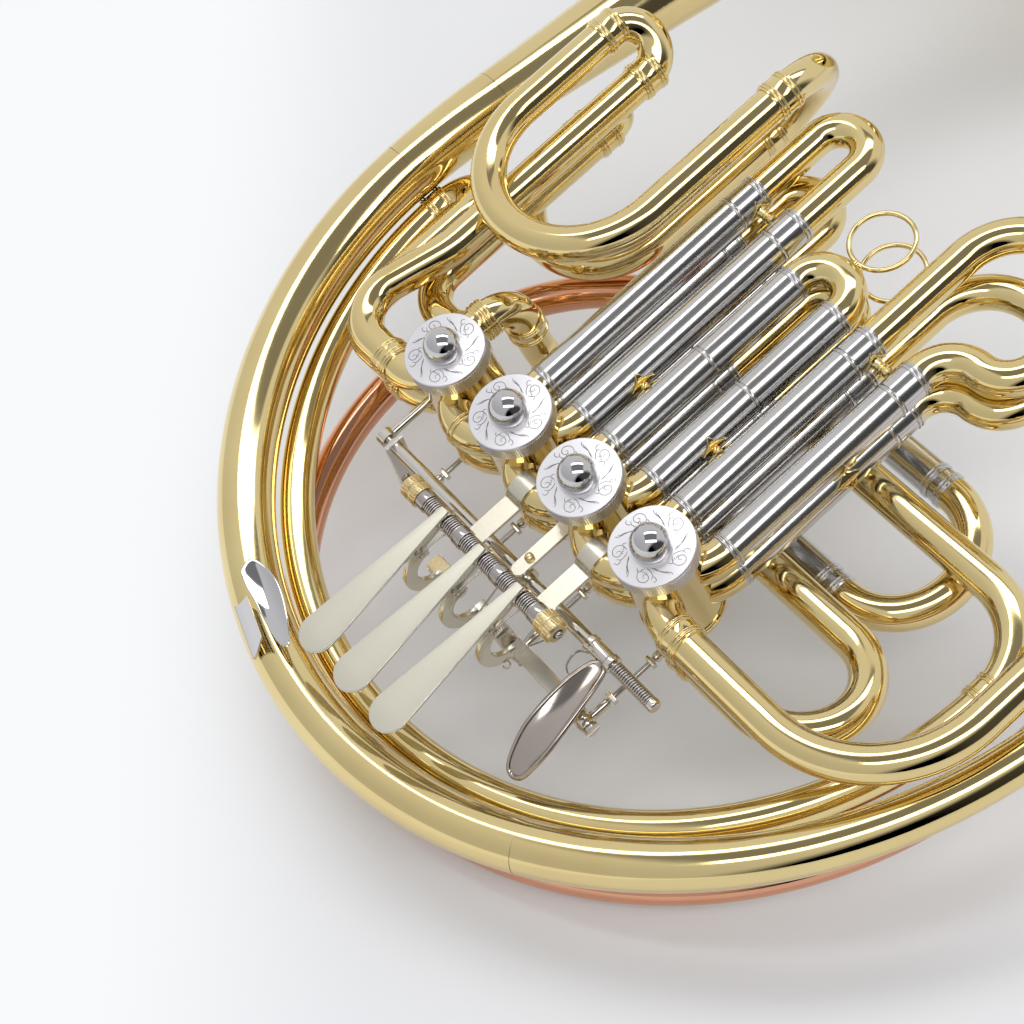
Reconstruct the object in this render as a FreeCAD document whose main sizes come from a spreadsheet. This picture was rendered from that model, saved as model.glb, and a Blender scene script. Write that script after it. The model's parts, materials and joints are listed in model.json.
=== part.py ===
"""Four-valve double French horn, drawn caps up and then laid on its bell rim.

Drawing frame, in millimetres: X along the valve slides, Y along the valve row from the first
valve towards the change valve, Z out of the valve caps, origin at the middle of the change
valve's cap. LAID turns that frame so that the horn rests on a table at Z = 0.
"""
import FreeCAD, Part
import math
import os
import Sketcher

V = FreeCAD.Vector
Rotation = FreeCAD.Rotation
X_AXIS = V(1, 0, 0)
Y_AXIS = V(0, 1, 0)
Z_AXIS = V(0, 0, 1)

SIZES = {
    # how the finished horn lies on the table
    "lie_pitch": 17.65, "lie_roll": 3.17, "lie_lift": 103.18, "origin_x": -194.14,
    "origin_y": 1.69,
    # tubing
    "tube_radius": 6.7, "tube_wall": 0.55, "slide_clearance": 0.05,
    "bead_height": 0.28, "bead_width": 0.9,
    # decks, as depths below the cap faces
    "top_deck": 3.5, "deck_depth": 17.5, "deck_step": 14.0, "hoop_depth": 33.0,
    "lead_depth": 60.6,
    # valves
    "valve_pitch": 38.1, "casing_radius": 14.3, "casing_wall": 0.9, "casing_top": 5.0,
    "casing_bottom": 44.0, "casing_floor": 2.6, "flange_radius": 15.4, "flange_height": 1.6,
    "rotor_clearance": 0.05, "rotor_top": 8.3, "rotor_bottom": 41.1, "passage_radius": 5.4,
    "passage_bend": 14.5, "spindle_radius": 3.2, "port_column": 13.0,
    "cap_radius": 15.0, "cap_height": 4.6, "cap_ball": 6.2, "cap_ball_rise": 2.6,
    "plate_thickness": 2.6,
    # valve slides
    "leg_pitch": 21.5, "leg_start": 17.5, "leg_wall": 0.5,
    "leg_engagement": 38.0, "joint_gap": 0.4,
    "first_sleeve": 94.0, "first_ferrule": 106.0, "first_crook": 148.0,
    "second_sleeve": 63.0, "second_ferrule": 105.0, "second_crook": 105.4,
    "third_sleeve": 110.0, "third_ferrule": 122.5, "third_crook": 150.0,
    "first_low_sleeve": 88.5, "first_low_ferrule": 100.0, "first_low_crook": 130.0,
    "second_low_sleeve": 61.0, "second_low_ferrule": 70.0, "second_low_crook": 104.0,
    "third_low_sleeve": 100.0, "third_low_ferrule": 108.0, "third_low_crook": 128.0,
    "crook_elbow": 14.0, "ring_radius": 11.7, "ring_wire": 0.95,
    # main tuning slide and leadpipe
    "tuning_left": 42.0, "tuning_bow": 26.0, "tuning_top": -60.0, "tuning_sleeve": 79.0,
    "tuning_run": 5.5, "lead_turn": 155.0, "lead_rise": 6.0, "lead_hoop_angle": 205.0,
    "mouth_radius": 4.8, "lead_wall": 0.5, "lead_straight": 90.0, "lead_away_bend": 300.0,
    "lead_away_turn": 12.0, "lead_away_run": 70.0, "receiver_length": 46.0,
    "receiver_radius": 6.6, "receiver_bore": 4.1, "receiver_land": 12.0,
    "receiver_fit": 0.04,
    # hoop and bell
    "hoop_x": 46.0, "hoop_y": -64.0, "hoop_bend": 164.0, "inner_hoop_bend": 149.0,
    "branch_start_radius": 6.9, "branch_end_radius": 9.5, "tail_end_radius": 11.9,
    "bell_wall": 0.7, "branch_bend": 192.8, "branch_run": 9.2, "hoop_turn": 120.0,
    "throat_bend": 260.0, "throat_turn": 10.0, "throat_radius": 12.7,
    "bell_length": 385.0, "rim_radius": 152.0, "rim_bead": 1.6, "flare_power": 1.2,
    # tube runs about the valves
    "outlet_bend": 47.0, "tight_bow": 10.75, "dip_run": 32.0, "under_x": 30.0,
    "under_top": -92.0, "under_bow": 22.5,
    "outer_bow_run": 17.0, "outer_bow_bend": 16.0, "outer_bow_y": 45.2,
    "outer_bow_turn": 105.0, "ease_turn": 15.0, "ease_bend": 40.0, "bow_reach": 130.0,
    "inner_bow_bend": 15.0, "inner_bow_y": 49.0, "inner_bow_reach": 106.0,
    "hidden_bow_run": 26.0, "hidden_bow_bend": 17.5,
    "top_loop_bend": 37.0, "top_loop_x": 87.0, "low_loop_bend": 30.0, "low_loop_x": 92.0,
    "low_loop_y": 7.0,
    "loop_reach": 150.0, "feed_x": 33.0, "feed_bend": 13.0,
    # key work
    "axle_x": -41.0, "axle_depth": 10.0, "axle_radius": 2.0, "pivot_clearance": 0.05,
    "hub_radius": 3.9, "hub_width": 4.0, "collar_length": 4.0, "key_first": -46.7,
    "key_pitch": 21.0, "key_tilt": 3.8,
    "key_reach": 60.0, "key_tip_radius": 7.3, "key_neck": 1.6, "key_plate": 1.5,
    "arm_plate": 2.2, "arm_drop": 42.0, "arm_x": -52.0, "arm_hook_radius": 12.0,
    "arm_hook_width": 5.2, "ball_barrel_radius": 3.5, "ball_barrel_length": 5.0,
    "ball_pin_radius": 1.5, "screw_head_radius": 3.1, "screw_head_height": 1.6,
    "rod_radius": 1.1, "rod_sleeve_radius": 1.9, "rod_sleeve_length": 11.0,
    "crank_radius": 6.5, "crank_plate": 2.8, "crank_depth": 46.4, "crank_stud": 1.6,
    "eye_radius": 3.2, "eye_gap": 0.4,
    "thumb_x": -34.0, "thumb_depth": 24.0, "thumb_radius": 1.5, "thumb_tube": 2.6,
    "thumb_ball_x": -38.0, "thumb_sleeve": 3.4, "thumb_sleeve_length": 13.0,
    "thumb_turn_end": -125.0, "thumb_spring_run": 19.1, "spoon_reach": 48.0,
    "spoon_width": 13.2, "spoon_neck": 5.6, "spoon_plate": 1.6, "spoon_bend": 73.4,
    "spoon_rise": 8.7,
    "nut_radius": 4.6, "nut_length": 8.5, "bracket_plate": 1.5, "bracket_width": 7.6,
    "bracket_band": 1.1, "stop_bracket_depth": 18.5, "stop_bracket_width": 5.4,
    "coil_radius": 3.7, "coil_wall": 0.9, "spring_gap": 0.4, "hook_width": 10.0,
    "hook_bend": 16.0, "hook_strip": 1.8, "hook_angle": 162.2, "seat_gap": 0.02,
    "brace_x": 41.5, "brace_post": 1.6,
    "foot_length": 10.0, "foot_width": 7.0, "foot_plate": 0.9, "foot_rise": 3.2,
}

doc = FreeCAD.newDocument("french_horn")
sheet = doc.addObject("Spreadsheet::Sheet", "Sizes")
for row, (alias, value) in enumerate(SIZES.items(), start=1):
    sheet.set(f"A{row}", alias)
    sheet.set(f"B{row}", str(value))
    sheet.setAlias(f"B{row}", alias)
doc.recompute()

class Size:
    """Reads the sheet, so that size.tube_radius is the cell of that name."""

    def __getattr__(self, alias):
        return float(sheet.get(alias))


size = Size()
PARTS = []

LAID = FreeCAD.Placement(V(size.origin_x, size.origin_y, size.lie_lift),
                         Rotation(Y_AXIS, -size.lie_pitch).multiply(
                             Rotation(X_AXIS, size.lie_roll)))

TUBE_RULE = "tube_radius"
BORE_RULE = "tube_radius - tube_wall"
LEG_RULE = BORE_RULE + " - slide_clearance"
BORE = size.tube_radius - size.tube_wall
EIGHTH = math.tan(math.radians(22.5))
PORT_BEND = (size.valve_pitch / 2 - size.port_column) / EIGHTH
LEG_BEND = (size.leg_start - size.leg_pitch / 2) / EIGHTH
LEG = BORE - size.slide_clearance
UPPER = -size.deck_depth
LOWER = UPPER - size.deck_step
UNDER = LOWER - size.deck_step
HOOP = -size.hoop_depth
LEAD = -size.lead_depth
FIRST, SECOND, THIRD, CHANGE = [-size.valve_pitch * n for n in (3, 2, 1, 0)]
AXLE_Z = -size.axle_depth
BALL_Z = AXLE_Z - size.arm_drop


# ---------------------------------------------------------------- document helpers

def origin_plane(body, role):
    """The body's own origin plane of that role."""
    return [feature for feature in body.Origin.OriginFeatures if feature.Role == role][0]


def new_sketch(body, name, role, offset=None):
    """An empty sketch on one of the body's origin planes."""
    sketch = body.newObject("Sketcher::SketchObject", name)
    sketch.AttachmentSupport = [(origin_plane(body, role), "")]
    sketch.MapMode = "FlatFace"
    if offset is not None:
        sketch.AttachmentOffset = offset
    return sketch


def new_body(name):
    return doc.addObject("PartDesign::Body", name)


def circle(sketch, radius, centre=(0, 0), bound=None):
    """A circle, its radius bound to an expression where one is given."""
    index = sketch.addGeometry(Part.Circle(V(centre[0], centre[1], 0), Z_AXIS, radius), False)
    if centre == (0, 0):
        sketch.addConstraint(Sketcher.Constraint("Coincident", index, 3, -1, 1))
    rule = sketch.addConstraint(Sketcher.Constraint("Radius", index, radius))
    if bound:
        sketch.setExpression(f"Constraints[{rule}]", bound)
    return index


def outline(sketch, corners):
    """A closed outline. A corner is (x, y), or (x, y, r) where it is rounded."""
    points = [V(corner[0], corner[1], 0) for corner in corners]
    rounds = [corner[2] if len(corner) > 2 else 0.0 for corner in corners]
    count = len(points)
    ends = []
    for n in range(count):
        here, before, after = points[n], points[n - 1], points[(n + 1) % count]
        if not rounds[n]:
            ends.append((here, here, None))
            continue
        back = (before - here).normalize()
        ahead = (after - here).normalize()
        half = back.getAngle(ahead) / 2
        reach = rounds[n] / math.tan(half)
        centre = here + (back + ahead).normalize() * (rounds[n] / math.sin(half))
        enter = here + back * reach
        leave = here + ahead * reach
        middle = centre + (here - centre).normalize() * rounds[n]
        ends.append((enter, leave, middle))
    for n in range(count):
        enter, leave, middle = ends[n]
        if middle is not None:
            sketch.addGeometry(Part.Arc(enter, middle, leave), False)
        following = ends[(n + 1) % count][0]
        if leave.distanceToPoint(following) > 1e-6:
            sketch.addGeometry(Part.LineSegment(leave, following), False)


def pad(body, name, role, corners, thickness, level, bound=None):
    """A plate: an outline parallel to an origin plane, centred at that level."""
    sketch = new_sketch(body, name + "_outline", role,
                        FreeCAD.Placement(V(0, 0, level), Rotation()))
    outline(sketch, corners)
    plate = body.newObject("PartDesign::Pad", name)
    plate.Profile = sketch
    plate.Length = thickness
    plate.Midplane = True
    if bound:
        plate.setExpression("Length", bound)
    return plate


def turned(name, profile, at=None):
    """A turned piece about Z: its half profile holds (radius, height) corners."""
    body = new_body(name)
    sketch = new_sketch(body, name + "_profile", "XZ_Plane")
    outline(sketch, profile)
    spin = body.newObject("PartDesign::Revolution", name + "_turn")
    spin.Profile = sketch
    spin.ReferenceAxis = (sketch, ["V_Axis"])
    spin.Angle = 360
    place(body, at)
    return body


def place(piece, at=None):
    """Lays a piece with the rest of the horn, from its place in the drawing frame."""
    piece.Placement = LAID.multiply(at) if at else LAID


def along(x, y, z, direction, roll=0.0):
    """A placement whose Z runs along a direction."""
    turn = Rotation(Z_AXIS, direction)
    return FreeCAD.Placement(V(x, y, z), turn.multiply(Rotation(Z_AXIS, roll)))


def sub_part(name, pieces):
    """Names a sub-part: one piece, or several that are one node."""
    if len(pieces) == 1:
        part = pieces[0]
    else:
        part = doc.addObject("Part::Compound", name + "_set")
        part.Links = pieces
    part.Label = name
    PARTS.append(part)
    return part


def joined(name, pieces):
    """One solid of several."""
    whole = doc.addObject("Part::MultiFuse", name)
    whole.Shapes = pieces
    return whole


def cut(name, base, tool):
    """A piece less another."""
    result = doc.addObject("Part::Cut", name)
    result.Base = base
    result.Tool = tool
    return result


def rod(name, radius, length, at, bound=None):
    """A plain cylinder along the placement's Z."""
    bar = doc.addObject("Part::Cylinder", name)
    bar.Radius = radius
    bar.Height = length
    if bound:
        bar.setExpression("Radius", bound)
    place(bar, at)
    return bar


# ---------------------------------------------------------------- tubes

def route(sketch, steps):
    """Draws straight runs ("go", length) and tangent bends ("turn", radius, degrees).

    The route starts at the sketch's origin along its X. Returns its end and heading.
    """
    x, y, heading = 0.0, 0.0, 0.0
    for step in steps:
        if step[0] == "go":
            end_x = x + step[1] * math.cos(heading)
            end_y = y + step[1] * math.sin(heading)
            sketch.addGeometry(Part.LineSegment(V(x, y, 0), V(end_x, end_y, 0)), False)
        else:
            radius, sweep = step[1], math.radians(step[2])
            side = 1 if sweep > 0 else -1
            centre = V(x - side * radius * math.sin(heading),
                       y + side * radius * math.cos(heading), 0)
            begin = math.atan2(y - centre.y, x - centre.x)
            finish = begin + sweep
            arc = Part.Circle(centre, Z_AXIS, radius)
            sketch.addGeometry(Part.ArcOfCircle(arc, min(begin, finish), max(begin, finish)),
                               False)
            end_x = centre.x + radius * math.cos(finish)
            end_y = centre.y + radius * math.sin(finish)
            heading += sweep
        x, y = end_x, end_y
    return x, y, math.degrees(heading)


def amount(rule):
    """The number that a rule gives: aliases of the sheet joined by + and -."""
    total, sign = 0.0, 1
    for word in rule.split():
        if word in "+-":
            sign = 1 if word == "+" else -1
        else:
            total += sign * getattr(size, word)
    return total


def expression(rule):
    """A rule as the sheet's cells say it."""
    return " ".join(word if word in "+-" else "Sizes." + word for word in rule.split())


def tube(name, steps, at, outer=TUBE_RULE, bore=BORE_RULE, end_outer=None, end_bore=None):
    """A hollow tube swept along a flat route, tapering where it has end radii.

    Its radii are rules, so that its sections stay bound to the sheet.
    """
    body = new_body(name)
    path = new_sketch(body, name + "_route", "XY_Plane")
    end_x, end_y, heading = route(path, steps)
    section = new_sketch(body, name + "_section", "YZ_Plane")
    for rule in filter(None, (outer, bore)):
        circle(section, amount(rule), bound=expression(rule))
    pipe = body.newObject("PartDesign::AdditivePipe", name + "_pipe")
    pipe.Profile = section
    pipe.Spine = (path, [])
    if end_outer:
        # the end section stands square to the route's end
        turn = Rotation(Z_AXIS, heading)
        facing = FreeCAD.Placement(V(end_x, end_y, 0), turn)
        square = FreeCAD.Placement(V(0, 0, 0), Rotation(V(1, 1, 1), 120))
        finish = body.newObject("Sketcher::SketchObject", name + "_end_section")
        finish.AttachmentSupport = [(origin_plane(body, "YZ_Plane"), "")]
        finish.MapMode = "FlatFace"
        finish.AttachmentOffset = square.inverse().multiply(facing).multiply(square)
        for rule in filter(None, (end_outer, end_bore)):
            circle(finish, amount(rule), bound=expression(rule))
        pipe.Transformation = "Multisection"
        pipe.Sections = [(finish, [""])]
    place(body, at)
    return body


def flat(x, y, z, heading=0.0):
    """A placement level with the decks: X along the heading."""
    return FreeCAD.Placement(V(x, y, z), Rotation(Z_AXIS, heading))


def tilted(x, y, z, ahead, side):
    """A placement whose X runs ahead and whose Y leans towards the side."""
    up = ahead.cross(side)
    return FreeCAD.Placement(V(x, y, z), Rotation(ahead, side, up, "XYZ"))


def bow(name, begin, finish, ahead):
    """A half-circle bow from one tube's end to another's beside it."""
    chord = finish - begin
    return tube(name, [("turn", chord.Length / 2, 180)],
                tilted(begin.x, begin.y, begin.z, ahead, chord.normalize()))


def banded(inner, outer, start, length, beads):
    """Half profile of a sleeve with raised beads: (radius, height) corners."""
    corners = [(inner, start), (inner, start + length), (outer, start + length)]
    half = size.bead_width / 2
    for height in sorted(beads, reverse=True):
        corners += [(outer, height + half), (outer + size.bead_height, height),
                    (outer, height - half)]
    return corners + [(outer, start)]


def end_beads(start, length, at_start=True, at_end=True):
    """Where a sleeve's paired beads lie."""
    pitch = 1.3 * size.bead_width
    beads = []
    if at_start:
        beads += [start + pitch, start + 2.2 * pitch]
    if at_end:
        beads += [start + length - pitch, start + length - 2.2 * pitch]
    return beads


# ---------------------------------------------------------------- valves

def valve_casing(name, y, ports):
    """Casing with its floor, bottom flange and port holes: (level, angle) of each."""
    inner = size.casing_radius - size.casing_wall
    top, bottom = -size.casing_top, -size.casing_bottom
    hole = size.spindle_radius + size.pivot_clearance
    profile = [(hole, bottom), (size.flange_radius, bottom),
               (size.flange_radius, bottom + size.flange_height),
               (size.casing_radius, bottom + size.flange_height),
               (size.casing_radius, top), (inner, top),
               (inner, bottom + size.casing_floor), (hole, bottom + size.casing_floor)]
    shell = turned(name + "_shell", profile, flat(0, y, 0))
    drills = []
    for n, (level, angle) in enumerate(ports):
        aim = V(math.cos(math.radians(angle)), math.sin(math.radians(angle)), 0)
        start = V(0, y, level) + aim * (size.casing_radius / 2)
        drills.append(rod(f"{name}_port_{n}", BORE, size.casing_radius,
                          along(start.x, start.y, start.z, aim)))
    return cut(name, shell, joined(name + "_ports", drills))


def rotor(name, y):
    """Rotor with two curved passages in each deck, and its spindle."""
    radius = size.casing_radius - size.casing_wall - size.rotor_clearance
    top, bottom = -size.rotor_top, -size.rotor_bottom
    stem_top = -size.casing_top - size.plate_thickness / 2
    stem_bottom = -size.crank_depth - size.crank_plate
    spindle = size.spindle_radius
    profile = [(0, stem_bottom), (spindle, stem_bottom), (spindle, bottom), (radius, bottom),
               (radius, top), (spindle, top), (spindle, stem_top), (0, stem_top)]
    plug = turned(name + "_plug", profile, flat(0, y, 0))
    rings = []
    away = size.passage_bend * math.sqrt(2)
    for deck, level in (("upper", UPPER), ("lower", LOWER)):
        for side in (-1, 1):
            ring = doc.addObject("Part::Torus", f"{name}_{deck}_passage_{side + 1}")
            ring.Radius1 = size.passage_bend
            ring.Radius2 = size.passage_radius
            ring.setExpression("Radius1", "Sizes.passage_bend")
            ring.setExpression("Radius2", "Sizes.passage_radius")
            place(ring, flat(side * away, y, level))
            rings.append(ring)
    return cut(name, plug, joined(name + "_passages", rings))


def bearing_plate(name, y):
    """Round plate under the cap that carries the spindle's top."""
    radius = size.casing_radius - size.casing_wall - size.rotor_clearance
    hole = size.spindle_radius + size.pivot_clearance
    low = -size.casing_top - size.plate_thickness
    profile = [(hole, low), (radius, low), (radius, -size.casing_top),
               (hole, -size.casing_top)]
    return turned(name, profile, flat(0, y, 0))


def valve_cap(name, y):
    """Screw cap: flat face with a ball in the middle, skirt round the casing's rim."""
    inner = size.casing_radius + size.slide_clearance
    face = -size.casing_top + size.slide_clearance
    body = new_body(name)
    sketch = new_sketch(body, name + "_profile", "XZ_Plane")
    skirt = -size.casing_top - size.cap_height / 2
    outline(sketch, [(0, face), (inner, face), (inner, skirt), (size.cap_radius, skirt),
                     (size.cap_radius, 0, 0.5), (7.6, 0), (7.0, 0.6), (0, 0.6)])
    spin = body.newObject("PartDesign::Revolution", name + "_turn")
    spin.Profile = sketch
    spin.ReferenceAxis = (sketch, ["V_Axis"])
    place(body, flat(0, y, 0))
    ball = doc.addObject("Part::Sphere", name + "_ball")
    ball.Radius = size.cap_ball
    ball.setExpression("Radius", "Sizes.cap_ball")
    ball.Angle1 = -math.degrees(math.asin(size.cap_ball_rise / size.cap_ball))
    place(ball, flat(0, y, size.cap_ball_rise))
    return joined(name + "_whole", [body, ball])


def port_tube(name, valve_y, level, angle, line, bend, steps, next_y=None):
    """Tube leaving a valve's port, which lies at that angle, and trimmed at the casing."""
    reach = line * math.sqrt(2) - bend * EIGHTH
    aim = math.radians(angle)
    pipe = tube(name + "_pipe", steps, flat(reach * math.cos(aim),
                                            valve_y + reach * math.sin(aim), level, angle))
    cores = [rod(f"{name}_core_{n}", size.casing_radius, 4 * size.tube_radius,
                 flat(0, y, level - 2 * size.tube_radius))
             for n, y in enumerate((valve_y, next_y)) if y is not None]
    return cut(name, pipe, cores[0] if len(cores) == 1 else joined(name + "_cores", cores))


def leg_elbow(name, valve_y, level, angle):
    """Elbow from a right-hand port to the slide leg's start."""
    turn = -45 if angle == 45 else 45
    return port_tube(name, valve_y, level, angle, size.leg_pitch / 2, LEG_BEND,
                     [("turn", LEG_BEND, turn)])


def column_tube(name, valve_y, level, angle, steps):
    """Tube from a port that first bends to run along the valve row."""
    turn = {45: 45, 135: -45, 225: 45, 315: -45}[angle]
    return port_tube(name, valve_y, level, angle, size.port_column, PORT_BEND,
                     [("turn", PORT_BEND, turn)] + steps)


def knuckle(name, valve_y, level):
    """Bend from one valve's left port to the next valve's."""
    return port_tube(name, valve_y, level, 225, size.port_column, PORT_BEND,
                     [("turn", PORT_BEND, 90)], valve_y - size.valve_pitch)


# ---------------------------------------------------------------- slides

def fixed_sleeve(name, y, level, end):
    """Nickel-silver sleeve from the elbow to the slide's joint, beads at both ends."""
    length = end - size.leg_start
    beads = end_beads(0, length, at_end=False) + [length - size.bead_width]
    profile = banded(BORE, size.tube_radius, 0, length, beads)
    return turned(name, profile, along(size.leg_start, y, level, X_AXIS))


def crook(name, valve_y, level, sleeve, ferrule_end, turn_x, wide=False, rings=()):
    """Movable slide: two inner legs, their outer bands, the bow and its pull rings."""
    half = size.leg_pitch / 2
    start = sleeve - size.leg_engagement
    high, low = valve_y + half, valve_y - half
    pieces = []
    if not wide:
        steps = [("go", turn_x - start), ("turn", half, -180), ("go", turn_x - start)]
    else:
        # the far leg swings wide, and comes back to the near one through two elbows
        elbow = size.crook_elbow
        back = ferrule_end + 2 * elbow + 0.5
        steps = [("go", turn_x - start), ("turn", half + elbow, -180), ("go", turn_x - back),
                 ("turn", elbow, -90), ("turn", elbow, 90),
                 ("go", back - 2 * elbow - start)]
    pieces.append(tube(name + "_legs", steps, flat(start, high, level), LEG_RULE,
                       LEG_RULE + " - leg_wall"))
    for label, y in (("high", high), ("low", low)):
        length = ferrule_end - sleeve - size.joint_gap
        beads = end_beads(0, length, at_start=False)
        profile = banded(LEG - size.leg_wall / 2, size.tube_radius, 0, length, beads)
        pieces.append(turned(f"{name}_{label}_band", profile,
                             along(sleeve + size.joint_gap, y, level, X_AXIS)))
    for n, angle in enumerate(rings):
        pieces += pull_ring(f"{name}_ring_{n}", V(turn_x, valve_y, level), angle)
    return joined(name, pieces)


def pull_ring(name, bow_centre, angle):
    """Finger ring soldered to the bow's outside through a small lug."""
    aim = V(math.cos(math.radians(angle)), math.sin(math.radians(angle)), 0)
    reach = size.leg_pitch / 2 + LEG
    ring = doc.addObject("Part::Torus", name)
    ring.Radius1 = size.ring_radius
    ring.Radius2 = size.ring_wire
    ring.setExpression("Radius1", "Sizes.ring_radius")
    ring.setExpression("Radius2", "Sizes.ring_wire")
    centre = bow_centre + aim * (reach + 1.2 + size.ring_radius)
    place(ring, flat(centre.x, centre.y, centre.z))
    sunk = 0.6 * size.leg_wall
    foot = bow_centre + aim * (reach - sunk)
    lug = rod(name + "_lug", 1.5, 1.2 + sunk, along(foot.x, foot.y, foot.z, aim))
    return [ring, lug]


# ---------------------------------------------------------------- key work

def hub(name, y, width):
    """Hub tube round the key axle."""
    bore = size.axle_radius + size.pivot_clearance
    profile = [(bore, -width / 2), (size.hub_radius, -width / 2),
               (size.hub_radius, width / 2), (bore, width / 2)]
    return turned(name, profile, along(size.axle_x, y, AXLE_Z, Y_AXIS))


def ring_sector(body, name, centre, outer, inner, begin, finish, thickness, level):
    """A curved strip: a sector of a flat ring, parallel to XZ."""
    sketch = new_sketch(body, name + "_outline", "XZ_Plane",
                        FreeCAD.Placement(V(0, 0, level), Rotation()))
    middle = V(centre[0], centre[1], 0)
    first, last = math.radians(begin), math.radians(finish)

    def spot(radius, angle):
        return middle + V(math.cos(angle), math.sin(angle), 0) * radius

    for radius in (outer, inner):
        sketch.addGeometry(Part.Arc(spot(radius, first), spot(radius, (first + last) / 2),
                                    spot(radius, last)), False)
    for angle in (first, last):
        sketch.addGeometry(Part.LineSegment(spot(inner, angle), spot(outer, angle)), False)
    strip = body.newObject("PartDesign::Pad", name)
    strip.Profile = sketch
    strip.Length = thickness
    strip.Midplane = True
    return strip


def touch_plate(name, y, plate_z):
    """The finger's plate: a teardrop, narrow at the hub, that tilts down to its tip."""
    body = new_body(name)
    tip, neck, reach = size.key_tip_radius, size.key_neck, size.key_reach
    sketch = new_sketch(body, name + "_outline", "XY_Plane")
    lean = math.asin((tip - neck) / reach)
    far = V(-reach + tip * math.sin(lean), tip * math.cos(lean), 0)
    sketch.addGeometry(Part.LineSegment(V(0, neck, 0), far), False)
    sketch.addGeometry(Part.LineSegment(V(0, -neck, 0), V(far.x, -far.y, 0)), False)
    sketch.addGeometry(Part.Arc(far, V(-reach - tip, 0, 0), V(far.x, -far.y, 0)), False)
    sketch.addGeometry(Part.LineSegment(V(0, neck, 0), V(0, -neck, 0)), False)
    plate = body.newObject("PartDesign::Pad", name + "_pad")
    plate.Profile = sketch
    plate.Length = size.key_plate
    plate.Midplane = True
    plate.setExpression("Length", "Sizes.key_plate")
    place(body, FreeCAD.Placement(V(size.axle_x, y, plate_z),
                                  Rotation(Y_AXIS, -size.key_tilt)))
    return body


def finger_key(name, y, rod_y):
    """Finger key: touch plate, hub, hooked arm, side strip and the ear with its ball pin."""
    body = new_body(name + "_sheet")
    plate_z = AXLE_Z + size.hub_radius + size.key_plate / 2 - 0.5
    # stiffening web under the plate, down to the hooked arm
    hook_x, hook_z = size.arm_x - 1.5, AXLE_Z - 15.0
    outer = size.arm_hook_radius
    web_reach = 0.63 * size.key_reach
    web_end = plate_z - web_reach * math.tan(math.radians(size.key_tilt))
    pad(body, "web", "XZ_Plane",
        [(size.axle_x - 2.5, plate_z), (size.axle_x - 2.5, AXLE_Z - 1.0),
         (hook_x, AXLE_Z - 4.0), (size.axle_x - web_reach, web_end)], size.arm_plate, -y,
        "Sizes.arm_plate")
    ring_sector(body, "hooked_arm", (hook_x, hook_z), outer, outer - size.arm_hook_width,
                80, 275, size.arm_plate, -y)
    # side strip from the hook's lower end to the ear
    ear_y = rod_y + size.ball_barrel_length / 2 + size.eye_gap + size.arm_plate / 2
    foot_z = hook_z - outer + size.arm_hook_width / 2
    ear_top = foot_z - 4.5
    half = size.arm_plate / 2
    side = 1 if ear_y > y else -1
    pad(body, "side_strip", "YZ_Plane",
        [(y - side * half, foot_z + 1.6), (y - side * half, foot_z - 1.4),
         (ear_y + side * half, ear_top - 2.0), (ear_y + side * half, ear_top + 1.0)],
        2 * size.ball_barrel_radius - 1.0, size.arm_x)
    radius = size.ball_barrel_radius
    pad(body, "ear", "XZ_Plane",
        [(size.arm_x - radius, ear_top + 0.5, 1.0), (size.arm_x + radius, ear_top + 0.5, 1.0),
         (size.arm_x + radius, BALL_Z - radius, radius - 0.01),
         (size.arm_x - radius, BALL_Z - radius, radius - 0.01)],
        size.arm_plate, -ear_y, "Sizes.arm_plate")
    place(body)
    pin_end = rod_y - size.ball_barrel_length / 2 - size.eye_gap
    pin = rod(name + "_pin", size.ball_pin_radius, ear_y - pin_end,
              along(size.arm_x, ear_y, BALL_Z, -Y_AXIS), "Sizes.ball_pin_radius")
    head = rod(name + "_screw_head", size.screw_head_radius, size.screw_head_height,
               along(size.arm_x, pin_end, BALL_Z, -Y_AXIS), "Sizes.screw_head_radius")
    boss = hub(name + "_hub", y, size.hub_width)
    plates = joined(name + "_plates", [touch_plate(name + "_touch", y, plate_z), body])
    sheet_part = cut(name + "_drilled", plates,
                     rod(name + "_drill", size.axle_radius + size.pivot_clearance,
                         2 * size.key_pitch,
                         along(size.axle_x, y + size.key_pitch, AXLE_Z, -Y_AXIS)))
    return joined(name, [sheet_part, boss, pin, head])


def push_rod(name, y, ball_x, eye_x):
    """Push rod: ball barrel at the key, threaded rod in a sleeve, eye over the crank."""
    barrel_length = size.ball_barrel_length
    hole = size.ball_pin_radius + size.pivot_clearance
    radius = size.ball_barrel_radius
    barrel = turned(name + "_barrel",
                    [(hole, -barrel_length / 2), (radius, -barrel_length / 2, 0.4),
                     (radius, barrel_length / 2, 0.4), (hole, barrel_length / 2)],
                    along(ball_x, y, BALL_Z, Y_AXIS))
    start = ball_x + 0.8 * radius
    length = eye_x - 0.8 * size.eye_radius - start
    stick = size.rod_radius
    sleeve = size.rod_sleeve_radius
    profile = [(0, 0), (sleeve, 0), (sleeve, size.rod_sleeve_length * 0.7),
               (stick, size.rod_sleeve_length * 0.7),
               (stick, length - 6.0 - size.rod_sleeve_length),
               (sleeve, length - 6.0 - size.rod_sleeve_length), (sleeve, length - 6.0),
               (stick, length - 6.0), (stick, length), (0, length)]
    bar = turned(name + "_bar", profile, along(start, y, BALL_Z, X_AXIS))
    head = size.crank_stud + 0.8
    eye = turned(name + "_eye",
                 [(0, -2.6), (head, -2.6), (head, -1.5), (size.eye_radius, -1.5),
                  (size.eye_radius, 1.5), (0, 1.5)], flat(eye_x, y, BALL_Z))
    return joined(name, [barrel, bar, eye])


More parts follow.
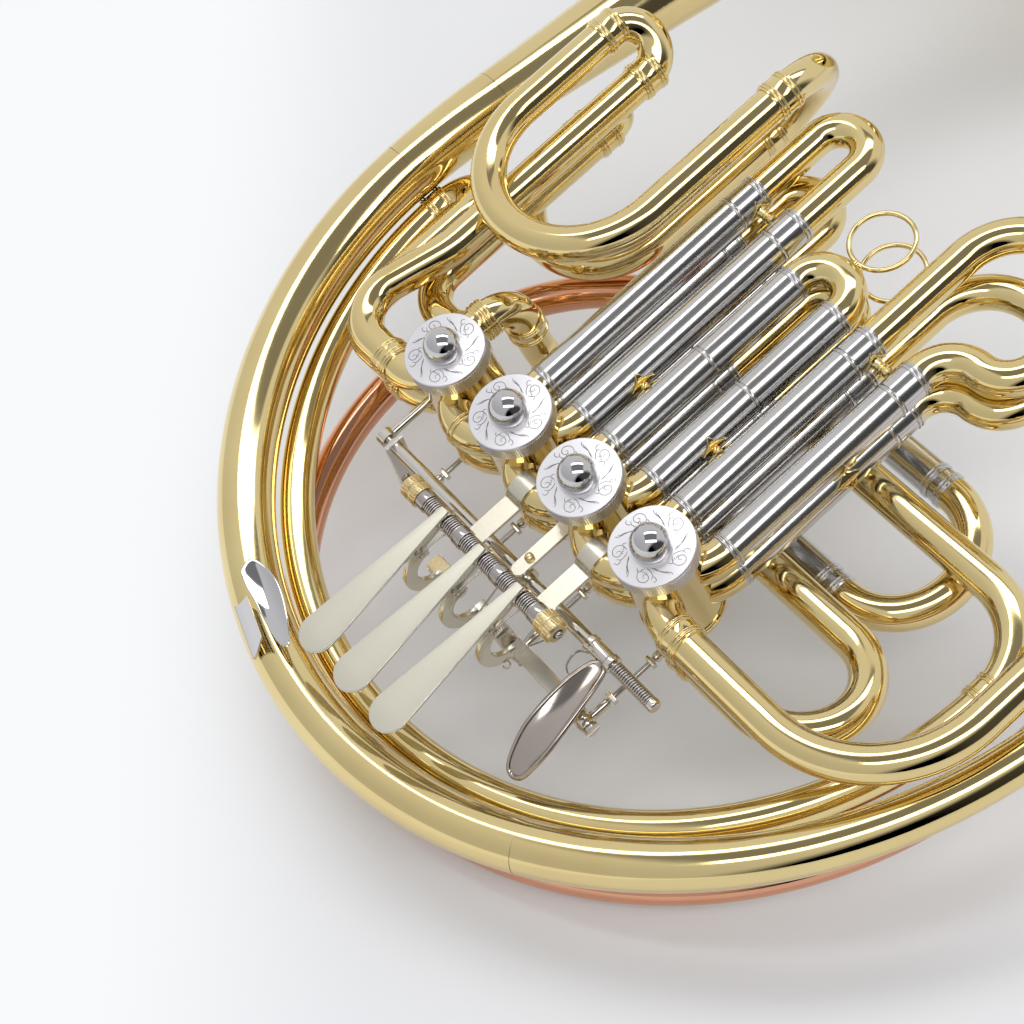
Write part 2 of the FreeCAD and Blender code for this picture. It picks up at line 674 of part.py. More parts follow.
def stop_arm(name, y, pin_angle):
    """Crank on the spindle: hub, arm with its stud, and the stop lug opposite."""
    body = new_body(name + "_sheet")
    low = -size.crank_depth - size.crank_plate
    aim = math.radians(pin_angle)
    sketch = new_sketch(body, "crank_outline", "XY_Plane")
    reach, tip, back = size.crank_radius, 3.2, 8.5
    hull = []
    ahead = V(math.cos(aim), math.sin(aim), 0)
    across = V(-math.sin(aim), math.cos(aim), 0)
    for distance, width in ((reach + tip, tip), (0, 5.2), (-back, 2.6)):
        hull.append((ahead * distance, width))
    corners = [hull[0][0] + across * tip, hull[1][0] + across * 5.2,
               hull[2][0] + across * 2.6, hull[2][0] - across * 2.6,
               hull[1][0] - across * 5.2, hull[0][0] - across * tip]
    radii = (2.4, 3.0, 1.2, 1.2, 3.0, 2.4)
    outline(sketch, [(c.x, c.y, r) for c, r in zip(corners, radii)])
    crank = body.newObject("PartDesign::Pad", "crank")
    crank.Profile = sketch
    crank.Length = size.crank_plate
    crank.setExpression("Length", "Sizes.crank_plate")
    place(body, flat(0, y, low))
    stud_low = BALL_Z + 1.5 + size.eye_gap
    stud = rod(name + "_stud", size.crank_stud, low - stud_low + 0.5,
               flat(reach * ahead.x, y + reach * ahead.y, stud_low), "Sizes.crank_stud")
    drill = rod(name + "_drill", size.spindle_radius, 3 * size.crank_plate,
                flat(0, y, low - size.crank_plate))
    return cut(name, joined(name + "_whole", [body, stud]), drill)


def coil(name, x, y0, y1, z, radius, wall):
    """Coil spring's closed envelope, from y0 to y1 round an axle."""
    length = abs(y1 - y0)
    profile = [(radius - wall, 0), (radius, 0), (radius, length), (radius - wall, length)]
    return turned(name, profile, along(x, min(y0, y1), z, Y_AXIS))


# ---------------------------------------------------------------- valve section

VALVES = (("change", CHANGE), ("third", THIRD), ("second", SECOND), ("first", FIRST))
ALL_AROUND = (45, 135, 225, 315)
for label, y in VALVES:
    turns = (45, 135, 225) if label == "change" else ALL_AROUND
    ports = [(level, angle) for level in (UPPER, LOWER) for angle in turns]
    sub_part(f"casing_{label}", [valve_casing(f"casing_{label}_body", y, ports)])
    sub_part(f"rotor_{label}", [rotor(f"rotor_{label}_body", y)])
    sub_part(f"stop_arm_{label}", [
        stop_arm(f"crank_{label}", y, -45 if label == "change" else 225)])
sub_part("bearing_plates", [bearing_plate(f"plate_{label}", y) for label, y in VALVES])
sub_part("valve_caps", [valve_cap(f"cap_{label}", y) for label, y in VALVES])
sub_part("knuckles", [knuckle(f"knuckle_{n}_{m}", y, level)
                      for n, (_, y) in enumerate(VALVES[:3])
                      for m, level in enumerate((UPPER, LOWER))])
sub_part("port_elbows", [leg_elbow(f"elbow_{label}_{n}_{angle}", y, level, angle)
                         for label, y in VALVES[1:]
                         for n, level in enumerate((UPPER, LOWER))
                         for angle in (45, 315)])

plates, bumpers = [], []
for label, y in VALVES:
    body = new_body(f"stop_plate_{label}_body")
    sketch = new_sketch(body, f"stop_plate_{label}_outline", "XY_Plane")
    outline(sketch, [(-12, -5, 3), (12, -5, 3), (12, 6, 3), (-12, 6, 3)])
    circle(sketch, size.spindle_radius + 2 * size.bead_height)
    plate = body.newObject("PartDesign::Pad", f"stop_plate_{label}")
    plate.Profile = sketch
    plate.Length = 1.5
    place(body, flat(0, y, -size.casing_bottom - 1.5))
    plates.append(body)
    for side in (-1, 1):
        bumpers.append(rod(f"bumper_{label}_{side + 1}", 2.2, 4.0,
                           flat(side * 8.9, y + 0.9, -size.casing_bottom - 5.5)))
sub_part("stop_plates", plates)
sub_part("stop_bumpers", bumpers)

# ---------------------------------------------------------------- valve slides

UPPER_SLIDES = (("first", FIRST, size.first_sleeve, size.first_ferrule, size.first_crook),
                ("second", SECOND, size.second_sleeve, size.second_ferrule,
                 size.second_crook),
                ("third", THIRD, size.third_sleeve, size.third_ferrule, size.third_crook))
LOWER_SLIDES = (("first", FIRST, size.first_low_sleeve, size.first_low_ferrule,
                 size.first_low_crook),
                ("second", SECOND, size.second_low_sleeve, size.second_low_ferrule,
                 size.second_low_crook),
                ("third", THIRD, size.third_low_sleeve, size.third_low_ferrule,
                 size.third_low_crook))
for deck, level, slides, ring_angle in (("upper", UPPER, UPPER_SLIDES, -2.0),
                                        ("lower", LOWER, LOWER_SLIDES, -10.0)):
    sleeves = []
    for label, y, sleeve_end, ferrule_end, turn_x in slides:
        for side in (1, -1):
            sleeves.append(fixed_sleeve(f"sleeve_{deck}_{label}_{side + 1}",
                                        y + side * size.leg_pitch / 2, level, sleeve_end))
        sub_part(f"slide_{label}_{deck}", [
            crook(f"crook_{label}_{deck}", y, level, sleeve_end, ferrule_end, turn_x,
                  wide=label == "first", rings=(ring_angle,) if label == "second" else ())])
    sub_part(f"sleeves_{deck}", sleeves)

# ---------------------------------------------------------------- bell side of the horn

tail_turn = size.hoop_turn
tail_start = V(size.hoop_x + size.hoop_bend * math.cos(math.radians(210)),
               size.hoop_y + size.hoop_bend * math.sin(math.radians(210)), HOOP)
bend = size.branch_bend
branch_start = V(tail_start.x + bend * math.cos(math.radians(30)) + size.branch_run,
                 tail_start.y - bend / 2, HOOP)
wall = size.bell_wall
branch = tube("first_branch_tube", [("go", size.branch_run), ("turn", bend, -60)],
              flat(branch_start.x, branch_start.y, HOOP, 180),
              "branch_start_radius", "branch_start_radius - bell_wall",
              "branch_end_radius", "branch_end_radius - bell_wall")
sub_part("first_branch", [branch])
tail = tube("bell_tail_tube", [("turn", size.hoop_bend, -tail_turn)],
            flat(tail_start.x, tail_start.y, HOOP, 120),
            "branch_end_radius", "branch_end_radius - bell_wall",
            "tail_end_radius", "tail_end_radius - bell_wall")
sub_part("bell_tail", [tail])

throat_start = V(size.hoop_x, size.hoop_y + size.hoop_bend, HOOP)
throat = tube("bell_throat", [("turn", size.throat_bend, size.throat_turn)],
              tilted(throat_start.x, throat_start.y, throat_start.z, X_AXIS, -Z_AXIS),
              "tail_end_radius", "tail_end_radius - bell_wall",
              "throat_radius", "throat_radius - bell_wall")
drop = math.radians(size.throat_turn)
throat_end = throat_start + V(size.throat_bend * math.sin(drop), 0,
                              -size.throat_bend * (1 - math.cos(drop)))
bell_way = V(math.cos(drop), 0, -math.sin(drop))
shrink = (size.rim_radius / size.throat_radius) ** (1 / size.flare_power) - 1
flare_scale = size.bell_length / shrink


def flare(distance, offset):
    """A point of the bell's curve, by distance from the rim, set off along the normal."""
    radius = size.rim_radius * (flare_scale / (flare_scale + distance)) ** size.flare_power
    slope = size.flare_power * radius / (flare_scale + distance)
    stretch = math.hypot(1, slope)
    return V(radius + offset / stretch, size.bell_length - distance
             - offset * slope / stretch, 0)


bell_body = new_body("bell_flare")
bell_sketch = new_sketch(bell_body, "bell_flare_profile", "XZ_Plane")
stations = [size.bell_length * (n / 24) ** 2 for n in range(25)]
outer_points = [flare(station, 0.0) for station in stations]
inner_points = [flare(station, -wall) for station in stations[:-1]]
inner_points.append(V(outer_points[-1].x - wall, 0, 0))
for points in (outer_points, inner_points):
    curve = Part.BSplineCurve()
    curve.interpolate(points)
    bell_sketch.addGeometry(curve, False)
bell_sketch.addGeometry(Part.LineSegment(outer_points[0], inner_points[0]), False)
bell_sketch.addGeometry(Part.LineSegment(outer_points[-1], inner_points[-1]), False)
spin = bell_body.newObject("PartDesign::Revolution", "bell_flare_turn")
spin.Profile = bell_sketch
spin.ReferenceAxis = (bell_sketch, ["V_Axis"])
place(bell_body, along(throat_end.x, throat_end.y, throat_end.z, bell_way))
rim_centre = throat_end + bell_way * size.bell_length
rim = doc.addObject("Part::Torus", "bell_rim")
rim.Radius1 = size.rim_radius
rim.Radius2 = size.rim_bead
rim.setExpression("Radius1", "Sizes.rim_radius")
rim.setExpression("Radius2", "Sizes.rim_bead")
place(rim, along(rim_centre.x, rim_centre.y, rim_centre.z, bell_way))
sub_part("bell", [joined("bell_whole", [throat, bell_body, rim])])

# ---------------------------------------------------------------- tubing round the valves

# output branch: first valve to the bell branch, through a tight bow
fall = UPPER - HOOP
out_y = branch_start.y + math.sqrt((2 * size.tight_bow) ** 2 - fall ** 2)
column_y = FIRST - size.valve_pitch / 2
output = column_tube("output_tube", FIRST, UPPER, 225, [
    ("go", column_y - (out_y + size.outlet_bend)), ("turn", size.outlet_bend, 90),
    ("go", branch_start.x - (size.outlet_bend - size.port_column))])
output_bow = bow("output_bow", V(branch_start.x, out_y, UPPER), branch_start, X_AXIS)
sub_part("output_branch", [output, output_bow])

# inner hoop branch and the run under the slides that feeds it
centre = V(size.hoop_x, size.hoop_y, 0)
inner_bend = size.inner_hoop_bend
inner_low = V(centre.x, centre.y - inner_bend, UNDER)
inner_high = V(centre.x, centre.y + inner_bend, UNDER)
sub_part("inner_hoop_branch", [
    tube("inner_hoop", [("turn", inner_bend, -180)],
         flat(inner_low.x, inner_low.y, UNDER, 180))])
under_far = size.under_x + 2 * size.under_bow
dip = column_tube("dip_tube", FIRST, LOWER, 225, [("go", size.dip_run)])
dip_y = column_y - size.dip_run
dip_bow = bow("dip_bow", V(-size.port_column, dip_y, LOWER),
              V(size.under_x, dip_y, UNDER), -Y_AXIS)
out_bend = under_far - size.hoop_x
under = tube("under_tube", [("go", size.under_top - dip_y), ("turn", size.under_bow, -180),
                           ("go", size.under_top - (inner_low.y + out_bend)),
                           ("turn", out_bend, -90)],
             flat(size.under_x, dip_y, UNDER, 90))
sub_part("under_run", [dip, dip_bow, under])

# change valve's own loops
slope = math.radians(size.ease_turn)
lean = math.radians(180 - size.outer_bow_turn)
bend = size.outer_bow_bend
rise_x = -size.port_column + bend * (1 + math.cos(lean))
rise_y = size.valve_pitch / 2 + size.outer_bow_run + bend * math.sin(lean)
outer_y = size.outer_bow_y
ease_drop = size.ease_bend * (1 - math.cos(slope))
ramp = (rise_y - outer_y - ease_drop) / math.sin(slope)
ease_x = rise_x + ramp * math.cos(slope) + size.ease_bend * math.sin(slope)
outer_tube = column_tube("outer_tube", CHANGE, UPPER, 135, [
    ("go", size.outer_bow_run), ("turn", bend, -size.outer_bow_turn), ("go", ramp),
    ("turn", size.ease_bend, size.ease_turn), ("go", size.bow_reach - ease_x)])
top_z = -size.top_deck
loop_far = outer_y + math.sqrt((2 * size.tight_bow) ** 2 - (top_z - UPPER) ** 2)
loop_near = loop_far - 2 * size.top_loop_bend
outer_bow = bow("outer_bow", V(size.bow_reach, outer_y, UPPER),
                V(size.bow_reach, loop_far, top_z), X_AXIS)
top_loop = tube("top_loop_tube", [("go", size.bow_reach - size.top_loop_x),
                                  ("turn", size.top_loop_bend, 180),
                                  ("go", size.loop_reach - size.top_loop_x)],
                flat(size.bow_reach, loop_far, top_z, 180))
low_near = size.low_loop_y
low_far = low_near + 2 * size.low_loop_bend
end_bow = bow("end_bow", V(size.loop_reach, loop_near, top_z),
              V(size.loop_reach, low_near, UNDER), X_AXIS)
low_loop = tube("low_loop_tube", [("go", size.loop_reach - size.low_loop_x),
                                  ("turn", size.low_loop_bend, -180),
                                  ("go", size.inner_bow_reach - size.low_loop_x)],
                flat(size.loop_reach, low_near, UNDER, 180))
inner_y = size.inner_bow_y
bend = size.inner_bow_bend
inner_tube = column_tube("inner_tube", CHANGE, LOWER, 45, [
    ("go", inner_y - bend - size.valve_pitch / 2), ("turn", bend, -90),
    ("go", size.inner_bow_reach - size.port_column - bend)])
return_bow = bow("return_bow", V(size.inner_bow_reach, low_far, UNDER),
                 V(size.inner_bow_reach, inner_y, LOWER), X_AXIS)
sub_part("change_bow_outer", [outer_tube])
sub_part("change_bow_inner", [inner_tube])
sub_part("top_loop", [outer_bow, top_loop])
sub_part("low_loop", [end_bow, low_loop, return_bow])
bend = size.hidden_bow_bend
hidden_y = size.valve_pitch / 2 + size.hidden_bow_run + bend
hidden = column_tube("hidden_tube", CHANGE, LOWER, 135, [
    ("go", size.hidden_bow_run), ("turn", bend, -90),
    ("go", size.hoop_x + size.port_column - bend)])
hidden_bow = bow("hidden_bow", V(size.hoop_x, hidden_y, LOWER), inner_high, X_AXIS)
sub_part("hidden_branch", [hidden, hidden_bow])

# feed from the main tuning slide up to the change valve
feed_y = size.leg_pitch / 2
bend = size.feed_bend
feed_start = size.feed_x - bend
feed_stub = port_tube("feed_stub", CHANGE, UPPER, 45, size.leg_pitch / 2, LEG_BEND,
                      [("turn", LEG_BEND, -45), ("go", feed_start - size.leg_start)])
feed_down = tube("feed_down", [("turn", bend, 90), ("go", UPPER - LEAD - 2 * bend)],
                 tilted(feed_start, feed_y, UPPER, X_AXIS, -Z_AXIS))
feed_foot = tube("feed_foot", [("turn", bend, 90)],
                 tilted(size.feed_x, feed_y, LEAD + bend, -Z_AXIS, -Y_AXIS))
shift = size.tuning_left - size.feed_x
ease = size.ease_bend
ramp = (shift - 2 * ease * (1 - math.cos(slope))) / math.sin(slope)
reach = 2 * ease * math.sin(slope) + ramp * math.cos(slope)
turn = size.ease_turn
feed_run = tube("feed_run", [("turn", ease, turn), ("go", ramp), ("turn", ease, -turn),
                             ("go", feed_y - bend - reach - size.tuning_top)],
                flat(size.feed_x, feed_y - bend, LEAD, -90))
sub_part("feed", [feed_stub, feed_down, feed_foot, feed_run])

# ---------------------------------------------------------------- main tuning slide, leadpipe

tuning_right = size.tuning_left + 2 * size.tuning_bow
beads = end_beads(0, size.tuning_sleeve)
sub_part("tuning_sleeves", [
    turned(f"tuning_sleeve_{n}", banded(BORE, size.tube_radius, 0, size.tuning_sleeve, beads),
           along(x, size.tuning_top, LEAD, -Y_AXIS))
    for n, x in enumerate((size.tuning_left, tuning_right))])
tuning_end = size.tuning_top - size.tuning_sleeve
leg_length = size.leg_engagement + size.joint_gap + size.tuning_run
crook_start = tuning_end + size.leg_engagement
tuning_pieces = [tube("tuning_crook", [("go", leg_length),
                                       ("turn", size.tuning_bow, 180), ("go", leg_length)],
                      flat(size.tuning_left, crook_start, LEAD, -90), LEG_RULE,
                      LEG_RULE + " - leg_wall")]
for n, x in enumerate((size.tuning_left, tuning_right)):
    length = size.tuning_run
    profile = banded(LEG - size.leg_wall / 2, size.tube_radius, 0, length,
                     end_beads(0, length, at_start=False))
    tuning_pieces.append(turned(f"tuning_band_{n}", profile,
                                along(x, tuning_end - size.joint_gap, LEAD, -Y_AXIS)))
sub_part("main_tuning_slide", [joined("tuning_slide_whole", tuning_pieces)])

meet = math.radians(size.lead_hoop_angle)
meet_x = size.hoop_x + size.hoop_bend * math.cos(meet)
meet_y = size.hoop_y + size.hoop_bend * math.sin(meet)
sweep = math.radians(size.lead_turn)
lead_bend = (tuning_right - meet_x) / (1 - math.cos(sweep))
lead_top = size.tuning_top + size.lead_rise
cross_turn = size.lead_hoop_angle - size.lead_turn
cross_y = lead_top + lead_bend * math.sin(sweep)
cross_bend = (cross_y - meet_y) / (2 * math.sin(math.radians(cross_turn / 2)))
lead_steps = [("go", size.lead_rise), ("turn", lead_bend, size.lead_turn),
              ("turn", cross_bend, cross_turn),
              ("turn", size.hoop_bend, 270 - size.lead_hoop_angle),
              ("go", size.lead_straight),
              ("turn", size.lead_away_bend, -size.lead_away_turn),
              ("go", size.lead_away_run)]
lead_wall = size.lead_wall
leadpipe = tube("leadpipe_tube", lead_steps,
                flat(tuning_right, size.tuning_top, LEAD, 90),
                "tube_radius", "tube_radius - lead_wall",
                "mouth_radius", "mouth_radius - lead_wall")
sub_part("leadpipe", [leadpipe])
away = math.radians(size.lead_away_turn)
mouth_x = (size.hoop_x + size.lead_straight + size.lead_away_bend * math.sin(away)
           + size.lead_away_run * math.cos(away))
mouth_y = (size.hoop_y - size.hoop_bend - size.lead_away_bend * (1 - math.cos(away))
           - size.lead_away_run * math.sin(away))
mouth_way = V(math.cos(away), -math.sin(away), 0)
radius = size.receiver_radius
length = size.receiver_length
land = size.receiver_land
seat = size.mouth_radius + size.receiver_fit
receiver = turned("receiver_body",
                  [(seat, -land), (seat + 1.0, -land), (radius, -land + 6.0),
                   (radius, length - 6.0), (radius + 1.2, length - 5.0),
                   (radius + 1.2, length), (size.receiver_bore, length),
                   (size.receiver_bore, 22.0), (seat - lead_wall, 20.0),
                   (seat - lead_wall, size.seat_gap), (seat, size.seat_gap)],
                  along(mouth_x, mouth_y, LEAD, mouth_way))
sub_part("mouthpiece_receiver", [receiver])

# ---------------------------------------------------------------- key work

KEYS = [size.key_first - n * size.key_pitch for n in range(3)]
ROD_SIDE = size.crank_radius / math.sqrt(2)
for n, (label, y) in enumerate(VALVES[1:]):
    sub_part(f"key_{label}", [finger_key(f"key_{label}_body", KEYS[n], y - ROD_SIDE)])
    sub_part(f"push_rod_{label}", [
        push_rod(f"rod_{label}", y - ROD_SIDE, size.arm_x, -ROD_SIDE)])
sub_part("push_rod_change", [push_rod("rod_change", CHANGE - ROD_SIDE, size.thumb_ball_x,
                                      ROD_SIDE)])

# key axle: rod, two fixed collars, a knurled nut at each end
COLLARS = [KEYS[0] + (0.5 - n) * size.key_pitch for n in range(4)]
collar_half = size.collar_length / 2
axle_over = collar_half + size.nut_length + 2.0
axle_from, axle_to = COLLARS[0] + axle_over, COLLARS[3] - axle_over
axle_pieces = [rod("key_axle_rod", size.axle_radius, axle_from - axle_to,
                   along(size.axle_x, axle_from, AXLE_Z, -Y_AXIS), "Sizes.axle_radius")]
for n in (0, 2):
    axle_pieces.append(turned(f"key_axle_collar_{n}",
                              [(0, -collar_half), (size.hub_radius, -collar_half),
                               (size.hub_radius, collar_half), (0, collar_half)],
                              along(size.axle_x, COLLARS[n], AXLE_Z, Y_AXIS)))
sub_part("key_axle", [joined("key_axle_whole", axle_pieces)])
nuts = []
nut_bore = size.axle_radius + size.seat_gap
for n, y in enumerate((COLLARS[0] + collar_half + size.pivot_clearance + size.nut_length,
                       COLLARS[3] - collar_half - size.pivot_clearance)):
    nut = size.nut_radius
    length = size.nut_length
    nuts.append(turned(f"axle_nut_{n}",
                       [(nut_bore, 0), (nut - 0.6, 0), (nut - 0.6, 1.0), (nut, 1.0),
                        (nut, length - 1.0), (nut - 0.6, length - 1.0),
                        (nut - 0.6, length), (nut_bore, length)],
                       along(size.axle_x, y, AXLE_Z, -Y_AXIS)))
sub_part("axle_nuts", nuts)

# brackets that carry the axle: eye, foot, flat strip, and a band over a knuckle
thumb_z = -size.thumb_depth
eye_bore = size.axle_radius + size.seat_gap


def axle_bracket(name, y, row):
    """Bracket from a collar at y to the knuckle whose middle is at the row."""
    eye = turned(name + "_eye",
                 [(eye_bore, -collar_half), (size.hub_radius, -collar_half),
                  (size.hub_radius, collar_half), (eye_bore, collar_half)],
                 along(size.axle_x, y, AXLE_Z, Y_AXIS))
    body = new_body(name + "_sheet")
    half = size.bracket_width / 2
    strip_z = AXLE_Z - size.hub_radius - size.spring_gap - size.bracket_plate / 2
    left, right = size.axle_x - 2.5, size.axle_x + 2.5
    near = min(row - half, y - collar_half)
    end = -size.port_column - size.tube_radius
    pad(body, name + "_strip", "XY_Plane",
        [(left, near), (right, near), (right + 4.0, row - half), (end, row - half),
         (end, row + half), (left, row + half)], size.bracket_plate, strip_z,
        "Sizes.bracket_plate")
    pad(body, name + "_foot", "XY_Plane",
        [(left, y - collar_half), (right, y - collar_half), (right, y + collar_half),
         (left, y + collar_half)], size.bracket_plate, strip_z + size.bracket_plate - 0.4,
        "Sizes.bracket_plate")
    band = size.tube_radius + size.bracket_band
    ring_sector(body, name + "_band", (-size.port_column, UPPER), band,
                size.tube_radius - 0.8, 25, 162, size.bracket_width, -row)
    place(body)
    seat = doc.addObject("Part::Torus", name + "_seat")
    seat.Radius1 = PORT_BEND
    seat.Radius2 = size.tube_radius + size.seat_gap
    place(seat, flat(PORT_BEND - size.port_column, row, UPPER))
    bore = rod(name + "_bore", eye_bore, size.key_pitch,
               along(size.axle_x, y + size.key_pitch / 2, AXLE_Z, -Y_AXIS))
    sheet_part = cut(name + "_trimmed", body, joined(name + "_tools", [seat, bore]))
    return joined(name, [eye, sheet_part])


def stop_bracket(name, y):
    """Round-ended plate from a casing, with its pin and the eye of the thumb lever's tube."""
    half = size.stop_bracket_width / 2
    plate_z = -size.stop_bracket_depth
    body = new_body(name + "_sheet")
    far = size.thumb_x - half
    pad(body, name + "_plate", "XY_Plane",
        [(far, y - half, half - 0.1), (1.0 - size.casing_radius, y - half),
         (1.0 - size.casing_radius, y + half), (far, y + half, half - 0.1)],
        size.bracket_plate, plate_z, "Sizes.bracket_plate")
    pad(body, name + "_neck", "XY_Plane",
        [(size.thumb_x - 1.6, y - 1.6), (size.thumb_x + 1.6, y - 1.6),
         (size.thumb_x + 1.6, y + 1.6), (size.thumb_x - 1.6, y + 1.6)],
        size.bracket_plate, plate_z - size.bracket_plate + 0.3, "Sizes.bracket_plate")
    place(body)
    bore = size.thumb_tube + size.pivot_clearance
    eye = turned(name + "_eye", [(bore, -half), (bore + 1.5, -half), (bore + 1.5, half),
                                 (bore, half)], along(size.thumb_x, y, thumb_z, Y_AXIS))
    pin = turned(name + "_pin", [(0, 0), (1.3, 0), (1.3, 1.6, 0.5), (0, 1.6)],
                 flat(size.thumb_x + 5.0, y, plate_z + size.bracket_plate / 2 - 0.2))
    casing = rod(name + "_casing", size.casing_radius + size.seat_gap, 20.0,
                 flat(0, y, plate_z - 10.0))
    tunnel = rod(name + "_tunnel", bore, 20.0,
                 along(size.thumb_x, y + 10.0, thumb_z, -Y_AXIS))
    sheet_part = cut(name + "_trimmed", body, joined(name + "_tools", [casing, tunnel]))
    return joined(name, [sheet_part, eye, pin])


sub_part("key_brackets", [
    axle_bracket("bracket_upper", COLLARS[1], THIRD - size.valve_pitch / 2),
    stop_bracket("bracket_middle", SECOND),
    axle_bracket("bracket_lower", COLLARS[3], SECOND - size.valve_pitch / 2)])

# return springs, drawn as their closed envelopes between hub and collar
springs = []
hub_half = size.hub_width / 2 + size.spring_gap
for n, y in enumerate(KEYS):
    for side, stop in ((1, COLLARS[n]), (-1, COLLARS[n + 1])):
        start = y + side * hub_half
        finish = stop - side * (collar_half + size.seat_gap)
        springs.append(coil(f"key_spring_{n}_{side + 1}", size.axle_x, start, finish, AXLE_Z,
                            size.coil_radius, size.coil_wall))

# thumb lever: fixed axle, turning tube, arm with its ball pin, curved spoon
turn_from, turn_to = 1.6, size.thumb_turn_end
post_y = 5.0
cap_y = turn_to - size.thumb_spring_run
thumb_axle = rod("thumb_axle_rod", size.thumb_radius, post_y - cap_y + 1.0,
                 along(size.thumb_x, post_y, thumb_z, -Y_AXIS), "Sizes.thumb_radius")
thumb_eye = turned("thumb_post_eye", [(0, -2.0), (3.4, -2.0), (3.4, 2.0), (0, 2.0)],
                   along(size.thumb_x, post_y, thumb_z, Y_AXIS))
thumb_cap = turned("thumb_end_cap", [(0, 0), (size.thumb_tube, 0),
                                     (size.thumb_tube, 2.6, 1.2), (0, 2.6)],
                   along(size.thumb_x, cap_y, thumb_z, -Y_AXIS))
start = V(size.thumb_x + 2.5, post_y, thumb_z)
end = V(-size.port_column, post_y, thumb_z)
thumb_arm = rod("thumb_post_arm", size.brace_post, (end - start).Length,
                along(start.x, start.y, start.z, X_AXIS), "Sizes.brace_post")
thumb_seat = rod("thumb_post_seat", size.casing_radius + size.seat_gap, 20.0,
                 flat(0, CHANGE, thumb_z - 10.0))
sub_part("thumb_axle", [
    cut("thumb_frame", joined("thumb_frame_whole", [thumb_axle, thumb_eye, thumb_cap,
                                                    thumb_arm]), thumb_seat)])
thumb_bore = size.thumb_radius + size.pivot_clearance
sleeve_from = turn_to + size.thumb_sleeve_length
lever_tube = turned("thumb_tube",
                    [(thumb_bore, 0), (size.thumb_sleeve, 0),
                     (size.thumb_sleeve, sleeve_from - turn_to),
                     (size.thumb_tube, sleeve_from - turn_to),
                     (size.thumb_tube, turn_from - turn_to),
                     (thumb_bore, turn_from - turn_to)],
                    along(size.thumb_x, turn_to, thumb_z, Y_AXIS))
ball_y = CHANGE - ROD_SIDE
ear_y = ball_y + size.ball_barrel_length / 2 + size.eye_gap + size.arm_plate / 2
arm_body = new_body("thumb_arm_sheet")
radius = size.ball_barrel_radius
pad(arm_body, "thumb_arm", "XZ_Plane",
    [(size.thumb_x - 4.0, thumb_z + 3.6, 2.0), (size.thumb_x + 4.0, thumb_z + 3.6, 2.0),
     (size.thumb_x + 3.0, thumb_z - 6.0), (size.thumb_ball_x + radius, BALL_Z - radius, 3.2),
     (size.thumb_ball_x - radius, BALL_Z - radius, 3.2),
     (size.thumb_x - 5.0, thumb_z - 6.0)], size.arm_plate, -ear_y, "Sizes.arm_plate")
place(arm_body)
arm_drilled = cut("thumb_arm_drilled", arm_body,
                  rod("thumb_arm_drill", thumb_bore, 20.0,
                      along(size.thumb_x, ear_y + 10.0, thumb_z, -Y_AXIS)))
pin_end = ball_y - size.ball_barrel_length / 2 - size.eye_gap
thumb_pin = rod("thumb_pin", size.ball_pin_radius, ear_y - pin_end,
                along(size.thumb_ball_x, ear_y, BALL_Z, -Y_AXIS), "Sizes.ball_pin_radius")
thumb_head = rod("thumb_screw_head", size.screw_head_radius, size.screw_head_height,
                 along(size.thumb_ball_x, pin_end, BALL_Z, -Y_AXIS),
                 "Sizes.screw_head_radius")

# the spoon: a bowed strip, held to the paddle's outline
root_x = size.thumb_x - size.thumb_sleeve + 1.0
spoon_y = turn_to + size.spoon_neck / 2 + 0.4
swing = math.radians(90 - size.spoon_rise)
bow_x = root_x - size.spoon_bend * math.cos(swing)
bow_z = thumb_z - size.spoon_bend * math.sin(swing)
spoon_sweep = math.degrees((size.spoon_reach + 6.0) / size.spoon_bend)
strip_body = new_body("spoon_strip_body")
ring_sector(strip_body, "spoon_strip", (bow_x, bow_z), size.spoon_bend + size.spoon_plate / 2,
            size.spoon_bend - size.spoon_plate / 2, 90 - size.spoon_rise,
            90 - size.spoon_rise + spoon_sweep, 3 * size.spoon_width, -spoon_y)
place(strip_body)
paddle_body = new_body("spoon_paddle_body")
neck, wide = size.spoon_neck / 2, size.spoon_width
tip_x = root_x - size.spoon_reach
upper = spoon_y + neck + 1.2
pad(paddle_body, "spoon_paddle", "XY_Plane",
    [(root_x, spoon_y + neck), (root_x - 0.4 * size.spoon_reach, upper, 20.0),
     (tip_x, upper, 0.48 * wide), (tip_x, upper - wide, 0.48 * wide),
     (root_x - 0.6 * size.spoon_reach, upper - wide, 20.0), (root_x, spoon_y - neck)],
    60.0, thumb_z)
place(paddle_body)
spoon = doc.addObject("Part::MultiCommon", "thumb_spoon")
spoon.Shapes = [strip_body, paddle_body]
spoon_drilled = cut("thumb_spoon_drilled", spoon,
                    rod("thumb_spoon_drill", thumb_bore, 40.0,
                        along(size.thumb_x, spoon_y + 20.0, thumb_z, -Y_AXIS)))
sub_part("thumb_lever", [joined("thumb_lever_whole",
                                [lever_tube, arm_drilled, thumb_pin, thumb_head,
                                 spoon_drilled])])
springs.append(coil("thumb_coil", size.thumb_x, turn_to - size.spring_gap,
                    cap_y + size.seat_gap, thumb_z, size.thumb_tube, 0.7))
sub_part("return_springs", springs)

# ---------------------------------------------------------------- hook and braces

